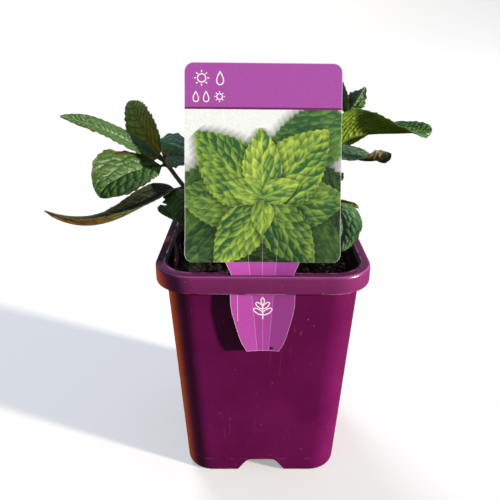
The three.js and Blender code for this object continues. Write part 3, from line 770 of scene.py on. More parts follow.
def printed_card():
    """Offset-printed polystyrene sheet, semi-gloss: purple header and tail, a picture of leaves between."""
    made, node = new_material("printed polystyrene front")
    card = node("Attribute", attribute_name="card").outputs["Vector"]
    across, up, inwards = node("SeparateXYZ", [card]).outputs
    soft = node("TexNoise", [card, 0.06, 2])
    ground = node("ValToRGB", [soft], [(0.35, "#E4ECEA"), (0.7, "#E8EFF2")])
    colour = paint(node, ground, [(node("MapRange", [up, 6, 34, 1.0, 0.0]), 1, "#233618")])
    group = printed_leaf()
    for base, angle, length, width, light, dark, quilt in PRINTED_LEAVES:
        colour = node("Group", {
            "Card": card, "Below": colour, "Base": (*base, 0), "Angle": math.radians(angle), "Length": length,
            "Width": width, "Light": linear(light), "Dark": linear(dark), "Quilt": quilt}, node_tree=group)
    rule = node("Math GREATER_THAN", [up, HEADER_FOOT])
    header = node("Math GREATER_THAN", [up, HEADER_FOOT + HEADER_RULE])
    tail = node("Math LESS_THAN", [up, 0.0])

    # Scores from the tail's end to the neck, whitened by bending
    score = node("MapRange", [up, -CARD_START, 0.0, SCORE_AT_END, SCORE_AT_CARD], clamp=False)
    ratio = node("Math DIVIDE", [across, score])
    nearest = node("Math PINGPONG", [ratio, 0.5])
    apart = node("Math MULTIPLY", [nearest, score])
    thin = node("MapRange", [apart, 0.05, 0.18, 1.0, 0.0])
    size = node("Math ABSOLUTE", [ratio])
    middle = node("Math LESS_THAN", [size, 1.4])
    below = node("MapRange", [up, 0.0, 13.0, 0.4, 0.0])
    marked = node("Math MULTIPLY", [thin, middle])
    crease = node("Math MULTIPLY", [marked, below])

    # A bend line down the tail's left side, a crumb of mix stuck near its end, and the bright cut border
    nearby = node("Math COMPARE", [across, -11.3, 0.14])
    long = node("Math COMPARE", [up, -22, 7])
    bent = node("Math MULTIPLY", [nearby, long])
    away = node("VectorMath DISTANCE", [card, (4.1, -43.6, 1.5)])
    ragged = node("TexNoise", [card, 1.6, 2])
    crumb = node("Math MULTIPLY_ADD", [ragged, 1.6, away])
    stuck = node("Math LESS_THAN", [crumb, 1.75])
    border = node("MapRange", [inwards, 0.08, 0.32, 0.6, 0.0])
    colour = paint(node, colour, [
        (rule, 1, "#6A1F58"), (header, 1, "#A24CA6"), (tail, 1, "#AC48A6"), (crease, 1, "#E8B9E2"),
        (bent, 0.45, "#F2DCF2"), (stuck, 1, "#2A2024"), (border, 1, "#EBDCEC")])
    dots = node("TexNoise", [card, 2.2, 2])
    grain = node("MapRange", [dots, 0.3, 0.7, 0.86, 1.12])
    printed = node("VectorMath SCALE", [colour, grain])
    node("OutputMaterial", [node("BsdfPrincipled", {
        "Base Color": printed, "Roughness": 0.42, "IOR": 1.5, "Specular IOR Level": 0.4})])
    return made


def plain_sheet(name, code, roughness):
    """Unprinted or evenly printed polystyrene sheet, with a fine mottle from the rollers."""
    made, node = new_material(name)
    mottle = node("TexNoise", [node("TexCoord").outputs["Object"], every(1.429), 2])
    light = node("MapRange", [mottle, 0, 1, 0.9, 1.1])
    colour = node("VectorMath SCALE", [linear(code)[:3], light])
    node("OutputMaterial", [node("BsdfPrincipled", {"Base Color": colour, "Roughness": roughness, "IOR": 1.5})])
    return made


# A leaf's shape where a shoot gives none:
# arch lifts the blade's middle in millimetres, nod lowers it again towards the tip, sweep bends it sideways.
# roll turns the blade about its midrib in degrees, twist and curl turn it further on the way to the tip.
# fold lifts its halves in degrees, cup sinks its margins, wave ripples them.
# widest is where along the blade it is widest, blunt how round its tip is, nick how deep its teeth are.
# cell is the spacing of its side veins, quilt how high the skin rises between them.
# ragged is how uneven its two margins are. scorch is where along it a margin is burnt, and on which side.
# tint is how young, bloomed and bronzed the leaf is, and grid the spacing of its points. The tint is also set
# leaf by leaf to paint light and shade: the bloom adds a painted pale sheen, the bronze painted shade on the upper
# side.
PLAIN_LEAF = dict(
    arch=6, nod=-3, sweep=0, roll=0, twist=0, curl=0, fold=16, cup=0.12, wave=0.05, widest=0.4, blunt=0.15, nick=1,
    cell=None, quilt=1, ragged=(0.09, 0.09), scorch=(9, 1), tint=(0.4, 0.1, 0.1), grid=FINE_GRID)

# Shoots: foot is where the stem leaves the mix, bend is its upper control point, crown its top.
# leaves stand at a share of the stem's length and end at a tip measured on the real plant. The others come
# in pairs by a rule, from lowest to highest, and bare names those that fell, counted from the lowest.
SHOOTS = [
    dict(
        name="mint_shoot_left", foot=(-16, -8), bend=(-34, -31, 150), crown=(-46.8, -9, 161.8),
        pairs=2, lowest=0.28, highest=0.46, climb=10, azimuth=70, length=34, seed=21,
        leaves=[
            dict(at=0.75, tip=(-86.6, -59.9, 153.6), width=14.2, arch=4, nod=-23.3, sweep=-5.5, roll=10, twist=-32,
                 curl=-6, fold=34, cup=0.03, widest=0.31, blunt=0.4, quilt=0.5, nick=0.5, tint=(0, 0, 1)),
            dict(at=0.75, tip=(-35.5, -32.5, 137.5), width=19.5, arch=8, nod=0.5, sweep=-0.5, roll=-4,
                 cup=0.1, widest=0.43, tint=(1, 0, 0.12)),
            dict(at=0.97, tip=(-86.3, -29, 185.2), width=12.8, arch=2.2, nod=1.7, sweep=-1.4, roll=24, twist=38,
                 curl=-38, cup=0.13, widest=0.41, cell=2.5, nick=0.7, quilt=1.3, ragged=(0.3, 0.03),
                 scorch=(0.78, -1), tint=(0.6, 0.15, 0.3)),
            dict(at=0.98, tip=(-66.3, 16.4, 185.2), width=22, arch=-0.5, nod=5.5, sweep=-4, roll=261, twist=-40,
                 curl=-12, fold=-21, cup=-0.24, wave=-0.01, widest=0.33, blunt=0.24, cell=4.4, quilt=0.45,
                 tint=(0.6, 0, 0)),
            dict(at=0.96, tip=(-70, -41.5, 153.5), width=28.4, arch=2, nod=8, sweep=-2.5, roll=17, twist=39,
                 curl=-27, fold=23, cup=0.06, widest=0.59, cell=4.8, quilt=1.15, nick=0.7, ragged=(0.06, 0.06),
                 scorch=(0.47, 1), tint=(0.7, 0, 0.3)),
            dict(at=0.99, tip=(-35, -5, 166.5), width=15, arch=12.5, nod=-10.5, sweep=-2.5, roll=-7,
                 twist=-24, fold=18, cup=0.07, widest=0.43, cell=2.6, tint=(0.3, 1, 0)),
            dict(at=0.99, tip=(-33.5, -14.5, 165.5), width=12, arch=5.5, nod=-5.5, sweep=6.5, roll=-93, twist=5,
                 fold=22, cup=0.16, widest=0.42, cell=2.6, blunt=0.4, tint=(0.6, 1, 0)),
            dict(at=0.58, tip=(-47, -33, 145.5), width=14.5, arch=-7.5, nod=2, sweep=3, roll=32, twist=-13,
                 fold=11, cup=0.03, widest=0.49, tint=(1, 0, 0.15)),
        ]),
    dict(
        name="mint_shoot_right", foot=(18, 8), bend=(28, 2, 166), crown=(43.5, 20, 181),
        pairs=2, lowest=0.3, highest=0.5, climb=10, azimuth=60, length=34, seed=77,
        leaves=[
            dict(at=0.96, tip=(39.5, 20.5, 195), width=6.5, arch=2, nod=-0.1, sweep=-2, roll=82, twist=10,
                 curl=-24, cup=0.02, widest=0.34, tint=(0.4, 0.3, 0)),
            dict(at=0.98, tip=(50.3, 15.5, 193), width=10.8, arch=-1, nod=0.5, sweep=4.4, roll=87, twist=-10,
                 curl=44, fold=22, cup=0, widest=0.42, nick=1.8, cell=2.4, quilt=1.2, tint=(0.7, 1, 0)),
            dict(at=0.68, tip=(85.5, 13.4, 173), width=32.4, arch=11.2, nod=-11.4, sweep=-1.9, roll=47, twist=-67,
                 curl=-82, fold=22, cup=0.09, wave=0.04, widest=0.25, blunt=0.32, cell=2.7, nick=0.8, quilt=0.65,
                 tint=(0.85, 0.1, 0)),
            dict(at=0.7, tip=(61.3, -6, 164.6), width=15.9, arch=0, nod=-6.8, sweep=3, roll=-24, twist=65,
                 curl=90, fold=20, cup=0.07, widest=0.38, blunt=0.35, nick=0.6, quilt=0.7, tint=(1, 1.2, 0.6)),
        ]),
    dict(
        name="mint_shoot_front_right", foot=(24, -14), bend=(30, -12, 138), crown=(34, -9, 150),
        leaves=[
            dict(at=0.8, tip=(35.9, -22, 121.4), width=18, arch=6.7, sweep=-5, roll=-32,
                 fold=6, cup=0.15, widest=0.46, blunt=0.45, cell=3.4, nick=0.3, quilt=0.6, tint=(1, 0.45, 0)),
            dict(at=0.8, tip=(49.5, 2.5, 134.5), width=8, arch=2, nod=0, sweep=-3, roll=8, twist=20,
                 fold=11, widest=0.36, tint=(0.4, 0.2, 0.2)),
            dict(at=0.97, tip=(38.6, -5, 155), width=9, arch=2, nod=0),
            dict(at=0.97, tip=(28, -14, 158), width=9, arch=2, nod=0),
            dict(at=0.5, tip=(10, -22, 126), width=16, arch=5, nod=0),
        ]),
    dict(
        name="mint_shoot_back", foot=(2, 20), bend=(2, 24, 150), crown=(4, 30, 188),
        pairs=5, lowest=0.28, azimuth=30, length=42, seed=67, bare=[0, 9],
        leaves=[dict(at=0.22, tip=(-4, 60.3, 137), width=22, arch=8, nod=-2)]),
    dict(
        name="mint_shoot_middle", foot=(-2, -12), bend=(-4, -14, 145), crown=(-6, -8, 174),
        pairs=4, lowest=0.3, azimuth=30, length=40, seed=23, bare=[1, 7]),
    dict(
        name="mint_shoot_back_left", foot=(-22, 16), bend=(-24, 30, 140), crown=(-26, 36, 168),
        pairs=4, lowest=0.3, azimuth=50, length=36, seed=154, bare=[1, 7]),
    dict(
        name="mint_shoot_back_right", foot=(22, 26), bend=(26, 36, 140), crown=(27, 40, 162),
        pairs=4, lowest=0.3, azimuth=40, length=34, seed=116, bare=[0, 6]),
]


def seeded(seed):
    """Random numbers from 0 to 1 by the minimal standard generator."""
    while True:
        seed = seed * 16807 % 2147483647
        yield seed / 2147483647


def bezier(controls, t):
    t = np.asarray(t, float)[..., None]
    a, b, c, d = controls
    return (1 - t) ** 3 * a + 3 * (1 - t) ** 2 * t * b + 3 * (1 - t) * t * t * c + t ** 3 * d


def bezier_slope(controls, t):
    t = np.asarray(t, float)[..., None]
    a, b, c, d = controls
    return 3 * ((1 - t) ** 2 * (b - a) + 2 * (1 - t) * t * (c - b) + t * t * (d - c))


def unit(vectors):
    return vectors / np.linalg.norm(vectors, axis=-1, keepdims=True)


def stem_controls(shoot):
    x, y = shoot["foot"]
    rise = (shoot["crown"][2] - MIX_TOP) / 3
    return [np.array(p, float) for p in ((x, y, MIX_TOP), (x, y, MIX_TOP + rise), shoot["bend"], shoot["crown"])]


def rule_pairs(shoot):
    """Leaves in pairs, each pair square to the one below, shorter and more upright."""
    random = seeded(shoot.get("seed", 1))

    def either(most):
        return 2 * most * (next(random) - 0.5)

    pairs, lowest, highest = shoot.get("pairs", 0), shoot.get("lowest", 0), shoot.get("highest", 0.97)
    leaves = []
    for pair in range(pairs):
        height = pair / (pairs - 1)
        at = lowest + (highest - lowest) * height
        for side in range(2):
            azimuth = math.radians(shoot["azimuth"] + 90 * pair + 180 * side + either(12))
            rise = math.radians(LOWEST_RISE + shoot.get("climb", 62) * height + either(10))
            length = shoot["length"] * (1 - LENGTH_LOST * height) * (0.88 + 0.24 * next(random))
            level = length * math.cos(rise)
            reach = (level * math.cos(azimuth), level * math.sin(azimuth), length * math.sin(rise))
            droop = DROOP * length * (0.7 + 0.5 * next(random))
            leaves.append(dict(
                at=at, tip=bezier(stem_controls(shoot), at) + reach, arch=droop, nod=-0.3 * droop, sweep=either(2),
                width=length * (0.5 + 0.08 * next(random)), roll=either(12), twist=either(10), grid=COARSE_GRID,
                tint=(0.25 + 0.6 * height, 0.25 * height, 0.1)))
    return [leaf for i, leaf in enumerate(leaves) if i not in shoot.get("bare", [])]


def midrib(root, leaf):
    """Control points of the curve from the stem to the tip, and the direction that the leaf faces."""
    chord = np.array(leaf["tip"], float) - root
    along = unit(chord)
    level = math.hypot(along[0], along[1])
    face = np.array([-along[2] * along[0] / level, -along[2] * along[1] / level, level])
    bow = np.cross(along, face) * leaf["sweep"]
    lifts = [(1 / 3, leaf["arch"]), (2 / 3, leaf["arch"] + leaf["nod"])]
    return [root, *[root + chord * share + face * lift + bow for share, lift in lifts], root + chord], face


def tube(centres, halves, sideways, sides, square):
    """Rings of a stem that is between round (0) and square (1) in section."""
    ahead = unit(np.gradient(centres, axis=0))
    right = unit(sideways - ahead * (ahead @ sideways)[:, None])
    front = np.cross(ahead, right)
    angle = np.linspace(0, 2 * math.pi, sides, endpoint=False) + math.pi / 4
    bulk = 1 + 0.16 * square * np.cos(4 * angle - math.pi)
    rings = []
    for centre, half, r, f in zip(centres, halves, right, front):
        rings.append(centre + half * bulk[:, None] * (np.cos(angle)[:, None] * r + np.sin(angle)[:, None] * f))
    return rings


def scatter_number(u, v, seed):
    """A number from 0 to 1 that looks random, for whole numbers u and v."""
    value = np.sin(u * 127.1 + v * 311.7 + seed * 74.7) * 43758.5453
    return value - np.floor(value)


def vein_net(u, v, seed):
    """Distance from the nearest vein of an irregular net whose cells are about 1 by 1."""
    nearest = np.full(u.shape, 9.0)
    second = np.full(u.shape, 9.0)
    for du in (-1, 0, 1):
        for dv in (-1, 0, 1):
            cell_u, cell_v = np.floor(u) + du, np.floor(v) + dv
            middle_u = cell_u + 0.5 + 0.4 * (scatter_number(cell_u, cell_v, seed) - 0.5)
            middle_v = cell_v + 0.5 + 0.8 * (scatter_number(cell_u, cell_v, seed + 1) - 0.5)
            far = np.hypot(u - middle_u, v - middle_v)
            second = np.minimum(second, np.maximum(nearest, far))
            nearest = np.minimum(nearest, far)
    return second - nearest


def leaf_grids(root, leaf, seed):
    """Upper and under side of a blade as grids of points, with its veins, quilting and edge as values.

    Rows go along the blade, by x from 0 to 1, and columns across it, by q from -1 to 1.
    """
    width, grid = leaf["width"], leaf["grid"]
    fold, cup, wave = math.radians(leaf["fold"]), leaf["cup"], leaf["wave"]
    controls, face = midrib(root, leaf)
    length = np.linalg.norm(np.diff(bezier(controls, np.linspace(0, 1, 30)), axis=0), axis=1).sum() * 0.9
    x = np.linspace(0, 1, max(24, round(length / grid)) + 1)
    q = np.linspace(-1, 1, 2 * max(8, round(width / grid / 2)) + 1)
    t = x[:, None]
    left = q < 0

    # The midrib's curve, and the directions across the blade and out of it, which roll and twist along it
    u = PETIOLE_SHARE + (1 - PETIOLE_SHARE) * x
    centre, ahead = bezier(controls, u), unit(bezier_slope(controls, u))
    turn = np.radians(leaf["roll"] + leaf["twist"] * x * x + leaf["curl"] * x ** 5)[:, None]
    upward = unit(face - ahead * (ahead @ face)[:, None])
    level = np.cross(ahead, upward)
    right = level * np.cos(turn) + upward * np.sin(turn)
    normal = upward * np.cos(turn) - level * np.sin(turn)

    # Outline with teeth that point forwards, uneven in depth, and margins that swell or tear
    fullness = 0.8 * (1 - leaf["blunt"] * x ** 4)
    outline = np.sin(math.pi * x ** (math.log(0.5) / math.log(leaf["widest"]))).clip(0) ** fullness
    half = width / 2 * outline
    teeth = max(6, round(length / TOOTH_SPACING))
    phase = (x * teeth) % 1
    tooth = np.where(phase < TOOTH_TIP, phase / TOOTH_TIP, (1 - phase) / (1 - TOOTH_TIP))
    depth = min(TOOTH_DEPTH, width / 17) * np.sin(math.pi * x.clip(0.06, 0.97)) ** 0.5 * leaf["nick"]
    reach = np.maximum(half, np.interp(x, [0, 0.08, 0.97, 1], [0.85, 0, 0, 0.25]))[:, None] * np.abs(q)
    steps = np.floor(x * teeth) * 1.7
    uneven = np.array([[noise.noise(Vector((step, side, seed))) for side in (-3, 3)] for step in steps])
    ragged = np.array(leaf["ragged"])
    swell = np.array([[noise.noise(Vector((p * (7 + 40 * torn), side, seed)))
                       for side, torn in zip((-5, 5), ragged)] for p in x]) * ragged
    side_of = (q > 0).astype(int)
    jag = (depth * (tooth - 0.45))[:, None] * (1 + 0.9 * uneven)[:, side_of] * np.abs(q) ** 7
    reach = reach * (1 + swell[:, side_of] * np.abs(q) ** 2)

    # The blade's middle surface: folded along its midrib, cupped and rippled
    ripple = np.sin(2 * math.pi * (1.5 * t + np.where(left, 0.35, 0)))
    lift = reach * math.sin(fold) + q * q * (wave * width * ripple - cup * half[:, None])
    across = np.sign(q) * (reach * math.cos(fold) + jag)
    surface = centre[:, None] + right[:, None] * across[..., None] + normal[:, None] * lift[..., None]
    out = unit(np.cross(np.gradient(surface, axis=1), -np.gradient(surface, axis=0)))
    out *= np.sign((out * normal[:, None]).sum(-1, keepdims=True))

    # Side veins that slant forwards, and the net of finer veins between them
    a = length * t + 0 * q
    b = reach
    drift = [np.array([[noise.noise(Vector((p * 0.16, s * r * 0.16, seed + k))) for p, r, s in zip(*row)]
                       for row in zip(a, b, np.sign(q) + 0 * a)]) for k in (0, 9.7)]
    spacing = leaf["cell"] or max(3.0, length / 10)
    slant = VEIN_SLANT * b + VEIN_BEND * b * b
    rising = (a - slant + 1.1 * drift[0] + np.where(left, 0.45 * spacing, 0)) / spacing
    crossing = (b + 0.9 * drift[1]) / (0.8 * spacing) + np.where(left, 57.5, 0)
    lateral = np.abs(np.sin(math.pi * rising))
    coarse, fine = [vein_net(finer * rising, finer * crossing, number)
                    for finer, number in ((1, seed), (NET_FINER, seed + 5))]
    pillow = (1 - np.exp(-coarse / 0.22)) * (0.3 + 0.7 * (1 - np.exp(-lateral / 0.2)))
    pillow = 0.86 * pillow + 0.14 * (1 - np.exp(-fine / 0.25))
    edge = np.abs(q) + 0 * a
    fade = (1 - edge ** 6) * np.minimum(1, t / 0.08) * np.minimum(1, (1 - t) / 0.05)
    mid = np.exp(-(b / MIDRIB_HALF) ** 2)
    bulge = pillow * fade * (1 - mid)
    vein = np.maximum.reduce([mid, np.exp(-(lateral / 0.16) ** 2), 0.7 * np.exp(-(coarse / 0.1) ** 2)])
    vein = vein * (1 - edge ** 8)

    # Both sides: quilting rises between the veins, and the veins stand out below
    rise = (0.022 * width + 0.3) * leaf["quilt"]
    height = rise * (bulge - 0.4) * fade - MIDRIB_SINK * mid * fade
    thick = BLADE_THICKNESS * (1 - 0.65 * edge ** 6)
    ribs = MIDRIB_RIB * mid * (1 - t) ** 0.5 + VEIN_RIB * vein * fade
    upper = surface + out * (height + thick / 2)[..., None]
    under = surface + out * (height - thick / 2 - ribs)[..., None]
    near, side = leaf["scorch"]
    scorch = np.exp(-((t - near) / 0.09) ** 2) * ((q * side - 0.7) / 0.15).clip(0, 1)
    return upper, under, np.stack([vein, np.maximum(bulge, 0.9 * mid), edge ** 7, t + 0 * edge, scorch], -1)


def hair_tree(down):
    """Sets fine tapering hairs on a shoot, where its hair attribute is above 0."""
    tree, node, given = new_group("leaf hairs", "GeometryNodeTree", {
        "Geometry": "Geometry", "Hair length": "Float", "Hair radius": "Float", "Hairs per square metre": "Float",
        "Seed": "Int"}, "Geometry")
    seed = given["Seed"]
    weight = node("GeometryNodeInputNamedAttribute", {"Name": "hair"}, data_type="FLOAT")
    density = node("Math MULTIPLY", [weight, given["Hairs per square metre"]])
    spots = node("GeometryNodeDistributePointsOnFaces", {
        "Mesh": given["Geometry"], "Density": density, "Seed": seed})
    hair = node("GeometryNodeMeshCone", {
        "Vertices": 3, "Radius Top": 0.0, "Radius Bottom": given["Hair radius"], "Depth": given["Hair length"]})
    lean = node("FunctionNodeRandomValue", {
        "Min": (-0.6, -0.6, 0), "Max": (0.6, 0.6, 3), "Seed": seed}, data_type="FLOAT_VECTOR")
    tilt = node("FunctionNodeEulerToRotation", [lean])
    turned = node("FunctionNodeRotateRotation", [spots.outputs["Rotation"], tilt], rotation_space="LOCAL")
    size = node("FunctionNodeRandomValue", {2: 0.5, 3: 1.2, "Seed": seed})
    copies = node("GeometryNodeInstanceOnPoints", {
        "Points": spots, "Instance": hair, "Rotation": turned, "Scale": size})
    real = node("GeometryNodeRealizeInstances", [copies])
    node("NodeGroupOutput", [node("GeometryNodeSetMaterial", {"Geometry": real, "Material": down})])
    return tree


def leaf_down():
    """Plant hairs: colourless and clear, so they show only as a pale fringe against the light."""
    made, node = new_material("clear plant hair")
    mix = node("TexNoise", [node("TexCoord").outputs["Object"], every(2.5), 1])
    colour = node("ValToRGB", [mix], [(0.3, "#8FA878"), (0.7, "#C4CFB0")])
    node("OutputMaterial", [node("BsdfPrincipled", {
        "Base Color": colour, "Roughness": 0.4, "IOR": 1.5, "Subsurface Weight": 0.3,
        "Subsurface Radius": (1, 1, 0.8), "Subsurface Scale": 0.0005})])
    return made


def make_shoot(shoot, skins, hairs):
    """One shoot: a square stem, leaves on short stalks, and its hairs as a piece of their own."""
    points, faces, slots, tints, reliefs, downs = [], [], [], [], [], []
    controls = stem_controls(shoot)

    def put(new_points, new_faces, new_slots, tint, relief, down):
        start = sum(len(p) for p in points)
        points.append(new_points)
        faces.extend([[i + start for i in face] for face in new_faces])
        slots.extend(new_slots)
        tints.append(np.column_stack([np.broadcast_to(tint, (len(new_points), 3)), relief[:, 4]]))
        reliefs.append(relief[:, :4])
        downs.append(np.broadcast_to(down, len(new_points)))

    leaves = [{**PLAIN_LEAF, **leaf} for leaf in shoot.get("leaves", []) + rule_pairs(shoot)]
    t = np.linspace(0, 1, 60)
    centres = np.concatenate([[(*shoot["foot"], MIX_TOP - STEM_DEPTH)], bezier(controls, t)])
    halves = np.interp(np.arange(len(centres)), [0, len(centres) - 1], [STEM_FOOT_HALF, STEM_TIP_HALF])
    for knot in sorted({round(leaf["at"], 2) for leaf in leaves}):
        halves[1:] += KNOT * np.exp(-((t - knot) / 0.022) ** 2)
    stem_points, stem_faces = loft(tube(centres, halves * 1.08, np.array([1, 0.2, 0]), STEM_SIDES, 0.9))
    along = np.repeat(np.concatenate([[0], t]), STEM_SIDES)
    relief = np.column_stack([along, 0 * along, 0 * along, 0 * along + 1, 0 * along])
    put(stem_points, stem_faces, [2] * len(stem_faces), (0, 0, 0), relief, 0.35 + 0.65 * along)
    for number, leaf in enumerate(leaves):
        root = bezier(controls, leaf["at"])
        rib, face = midrib(root, leaf)
        stalk = bezier(rib, np.linspace(0, 1.7 * PETIOLE_SHARE, 8))
        stalk_points, stalk_faces = loft(tube(stalk, np.linspace(*STALK_HALVES, 8), face, STALK_SIDES, 0.2))
        relief = np.tile((0.75, 0, 0, 1, 0), (len(stalk_points), 1))
        put(stalk_points, stalk_faces, [2] * len(stalk_faces), leaf["tint"], relief, 0.8)
        upper, under, values = leaf_grids(root, leaf, 10 * number + shoot["foot"][0])
        leaf_faces, count = slab(*upper.shape[:2])
        values = values.reshape(-1, 5)
        sides = [0] * count + [1] * count + [0] * (len(leaf_faces) - 2 * count)
        margin = values[:, 2]
        down = np.concatenate([0.9 * margin, 0.9 * margin + 0.12 * values[:, 0]])
        put(np.concatenate([upper.reshape(-1, 3), under.reshape(-1, 3)]), leaf_faces, sides, leaf["tint"],
            np.concatenate([values, values]), down)
    made = mesh_object(shoot["name"].replace("mint_", "leafy_"), np.concatenate(points), faces, skins)
    made.data.polygons.foreach_set("material_index", slots)
    for name, kind, field, rows in (
            ("leaf_tint", "FLOAT_COLOR", "color", tints), ("leaf_relief", "FLOAT_COLOR", "color", reliefs),
            ("hair", "FLOAT", "value", downs)):
        layer = made.data.attributes.new(name, kind, "POINT")
        layer.data.foreach_set(field, np.concatenate(rows).astype(np.float32).ravel())
    downy = new_object(shoot["name"].replace("mint_", "hairs_of_"), made.data.copy())
    grow(downy, hairs, {"Hair length": HAIR_LENGTH * MM, "Hair radius": HAIR_RADIUS * MM,
                        "Hairs per square metre": HAIRS_PER_SQUARE_METRE, "Seed": 3})
    finish_piece(downy, "mint_leaf")
    finish_piece(made, "mint_leaf", shoot["name"])


def leaf_skin(name, deep, fresh, vein_colour, bloom_and_sheen_colour, bronze_and_shade_colour, bronze_start, vein_share, shine):
    """Living mint leaf, grown: quilted and lightly downy, with a thin skin that lets some light through."""
    made, node = new_material(name)
    place = node("TexCoord").outputs["Object"]
    age_of = node("Attribute", attribute_name="leaf_tint").outputs
    shape = node("Attribute", attribute_name="leaf_relief").outputs
    youth, bloom_and_sheen, bronzed = node("SeparateColor", [age_of["Color"]]).outputs
    veins, plump, margin = node("SeparateColor", [shape["Color"]]).outputs
    mottle = node("TexNoise", [place, every(7.7), 4])
    patchy = node("MapRange", [mottle, 0.3, 0.7, -0.18, 0.18])
    age = node("Math ADD", [youth, patchy], use_clamp=True)
    green = node("Mix", [age, linear(deep), linear(fresh)], data_type="RGBA")

    # Bronzed leaves have dry spots at their margins
    spots = node("TexNoise", [place, every(3.85), 2])
    spot = node("MapRange", [spots, 0.5, 0.58])
    often = node("Math MULTIPLY", [bronzed, 2.5], use_clamp=True)
    dry = node("Math MULTIPLY", [often, spot])
    rim = node("MapRange", [margin, 0.2, 0.7])
    brown_edge = node("Math MULTIPLY", [dry, rim])
    # The bronze coat is near black on the upper side, painted shade; on the underside it is a bronze tinge
    outwards = node("MapRange", [shape["Alpha"], bronze_start, bronze_start + 0.3])
    bronze_and_painted_shade = node("Math MULTIPLY", [bronzed, outwards])
    # The bloom is bluish and pale: partly a real bloom, partly a painted sheen and painted light on young leaves
    colour = paint(node, green, [
        (bloom_and_sheen, 0.75, bloom_and_sheen_colour), (bronze_and_painted_shade, 0.9, bronze_and_shade_colour), (veins, vein_share, vein_colour),
        (margin, 0.4, "#809E54"), (brown_edge, 0.9, "#52300F"), (age_of["Alpha"], 0.95, "#5E3414")])
    # Painted shade in the valleys between the quilted bulges, painted light on the bulges and the midrib
    crown = node("MapRange", [plump, 0, 1, 0.6, 1.12])
    shaded = node("VectorMath SCALE", [colour, crown])

    # The finest veins, about 1.3 mm apart, and the skin's cells
    net = node("TexVoronoi", [place, every(1.333)], feature="DISTANCE_TO_EDGE")
    raised = node("MapRange", [net, 0, 0.4])
    blister = node("Bump", {"Height": raised, "Strength": 0.45, "Distance": 0.0002})
    grain = node("TexNoise", [place, every(0.6667), 2])
    bump = node("Bump", {"Height": grain, "Strength": 0.22, "Distance": 0.0002, "Normal": blister})
    node("OutputMaterial", [node("BsdfPrincipled", {
        "Base Color": shaded, "Roughness": 0.4, "Normal": bump, "IOR": 1.45, "Specular IOR Level": shine,
        "Subsurface Weight": 0.8, "Subsurface Radius": (0.6, 0.8, 0.06), "Subsurface Scale": 0.0009,
        "Subsurface Anisotropy": 0.6, "Sheen Weight": 0.02, "Sheen Roughness": 0.4,
        "Sheen Tint": linear("#CFE3D8")})])
    return made


def stem_skin():
    """Living mint stem: purple-brown and smooth below, green towards the crown."""
    made, node = new_material("mint stem")
    place = node("TexCoord").outputs["Object"]
    shape = node("Attribute", attribute_name="leaf_relief").outputs["Color"]
    height = node("SeparateColor", [shape]).outputs["Red"]
    streak = node("Mapping", {"Vector": place, "Scale": (1, 1, 0.12)})
    grain = node("TexNoise", [streak, every(2), 3])
    tone = node("Math MULTIPLY_ADD", [grain, 0.35, height])
    colour = node("ValToRGB", [tone], [(0.2, "#27181A"), (0.8, "#33241F"), (1.0, "#46522C")])
    node("OutputMaterial", [node("BsdfPrincipled", {
        "Base Color": colour, "Roughness": 0.45, "IOR": 1.45, "Subsurface Weight": 0.1,
        "Subsurface Radius": (0.5, 0.4, 0.2), "Subsurface Scale": 0.001})])
    return made


# Floor, backdrop and light
FLOOR_RADIUS = 3000
BACKDROP_RADIUS = 2500
FLOOR_SIDES = 96


def make_floor():
    """A round pale floor that curves up into a backdrop on every side, and throws no light on the plant."""
    made, node = new_material("matt white paper")
    height = node("SeparateXYZ", [node("TexCoord").outputs["Object"]]).outputs["Z"]
    glow = node("MapRange", [height, 0, 1.5, 0.34, 0.5])
    node("OutputMaterial", [node("BsdfPrincipled", {
        "Base Color": linear("#CFCECC"), "Roughness": 1, "Specular IOR Level": 0,
        "Emission Color": linear("#FFFFFF"), "Emission Strength": glow})])
    profile = [(0.001, 0), (600, 0), (FLOOR_RADIUS, 0)]
    profile += [(FLOOR_RADIUS + BACKDROP_RADIUS * s, BACKDROP_RADIUS * (1 - c)) for c, s in quarter(16)][1:]
    turn = np.linspace(0, 2 * math.pi, FLOOR_SIDES, endpoint=False)
    points = [(r * math.cos(a), r * math.sin(a), z) for r, z in profile for a in turn]
    faces = []
    for row in range(0, (len(profile) - 1) * FLOOR_SIDES, FLOOR_SIDES):
        for i in range(FLOOR_SIDES):
            j = (i + 1) % FLOOR_SIDES
            faces.append([row + i, row + FLOOR_SIDES + i, row + FLOOR_SIDES + j, row + j])
    floor = mesh_object("floor", points, faces, [made])
    for ray in ("diffuse", "glossy", "transmission", "shadow"):
        setattr(floor, "visible_" + ray, False)


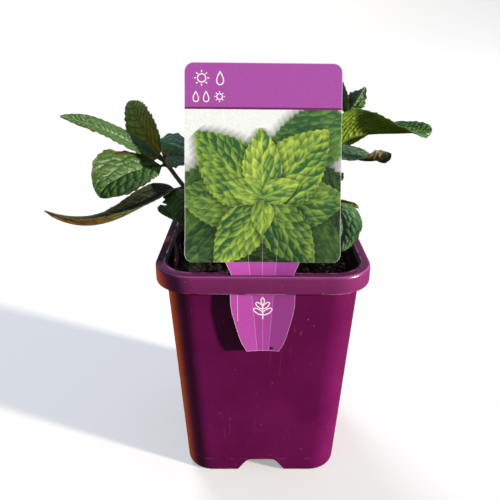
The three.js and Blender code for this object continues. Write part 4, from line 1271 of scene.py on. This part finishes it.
def make_sun(name, azimuth, elevation, softness, strength, code):
    """A light far away: its azimuth is from the front towards the right."""
    a, e = math.radians(azimuth), math.radians(elevation)
    made = new_object(name, bpy.data.lights.new(name, "SUN"))
    made.data.angle = math.radians(softness)
    made.data.energy = strength
    made.data.color = linear(code)[:3]
    away = Vector((math.sin(a) * math.cos(e), -math.cos(a) * math.cos(e), math.sin(e)))
    made.rotation_euler = away.to_track_quat("Z", "Y").to_euler()
    return made


def make_world():
    """Soft fill: cool from above, warm and weak from below, with a warm glow from the left."""
    world = bpy.data.worlds.new("studio")
    bpy.context.scene.world = world
    world.use_nodes = True
    world.node_tree.nodes.clear()
    node = partial(add, world.node_tree)
    way = node("TexCoord").outputs["Generated"]
    level = node("MapRange", [node("SeparateXYZ", [way]).outputs["Z"], -1.0, 1.0])
    sky = node("ValToRGB", [level], [(0.0, "#4C3C32"), (0.45, "#5C4E46"), (0.6, "#767C84"), (1.0, "#A2B4C8")])
    left = node("VectorMath DOT_PRODUCT", [way, (-0.78, 0.46, -0.42)])
    narrow = node("MapRange", [left, 0.82, 0.96])
    glow = node("Math MULTIPLY_ADD", [narrow, 1.7, 1.0])
    shade = node("Background", {"Color": paint(node, sky, [(narrow, 1, "#C05A20")]), "Strength": glow})
    node("OutputWorld", [shade])
    bpy.context.scene.view_settings.view_transform = "Standard"


make_camera()
make_world()
make_floor()
make_sun("key", 68, 13, 4, 7.6, "#FFF4E4")
make_sun("back", 205, 26, 25, 2.2, "#F4F4FF").visible_glossy = False

peat = peat_and_bark()
make_pot(pot_plastic())
mix = make_mix(peat)
make_crumbs(mix, peat)
make_label(printed_card(), plain_sheet("printed polystyrene back", "#B768BC", 0.45),
           plain_sheet("cut polystyrene edge", "#E9DDEA", 0.5))
make_signs(plain_sheet("white ink", "#F2ECF3", 0.5))
skins = [
    leaf_skin("mint leaf upper side", "#2E4619", "#4F7D28", "#7C9C58", "#86B598", "#1F1B16", -0.3, 0.2, 0.45),
    leaf_skin("mint leaf underside", "#52692F", "#98B43C", "#33481C", "#5C7C68", "#7A4A1E", 0.4, 0.5, 0.25),
    stem_skin(),
]
hairs = hair_tree(leaf_down())
for shoot in SHOOTS:
    make_shoot(shoot, skins, hairs)
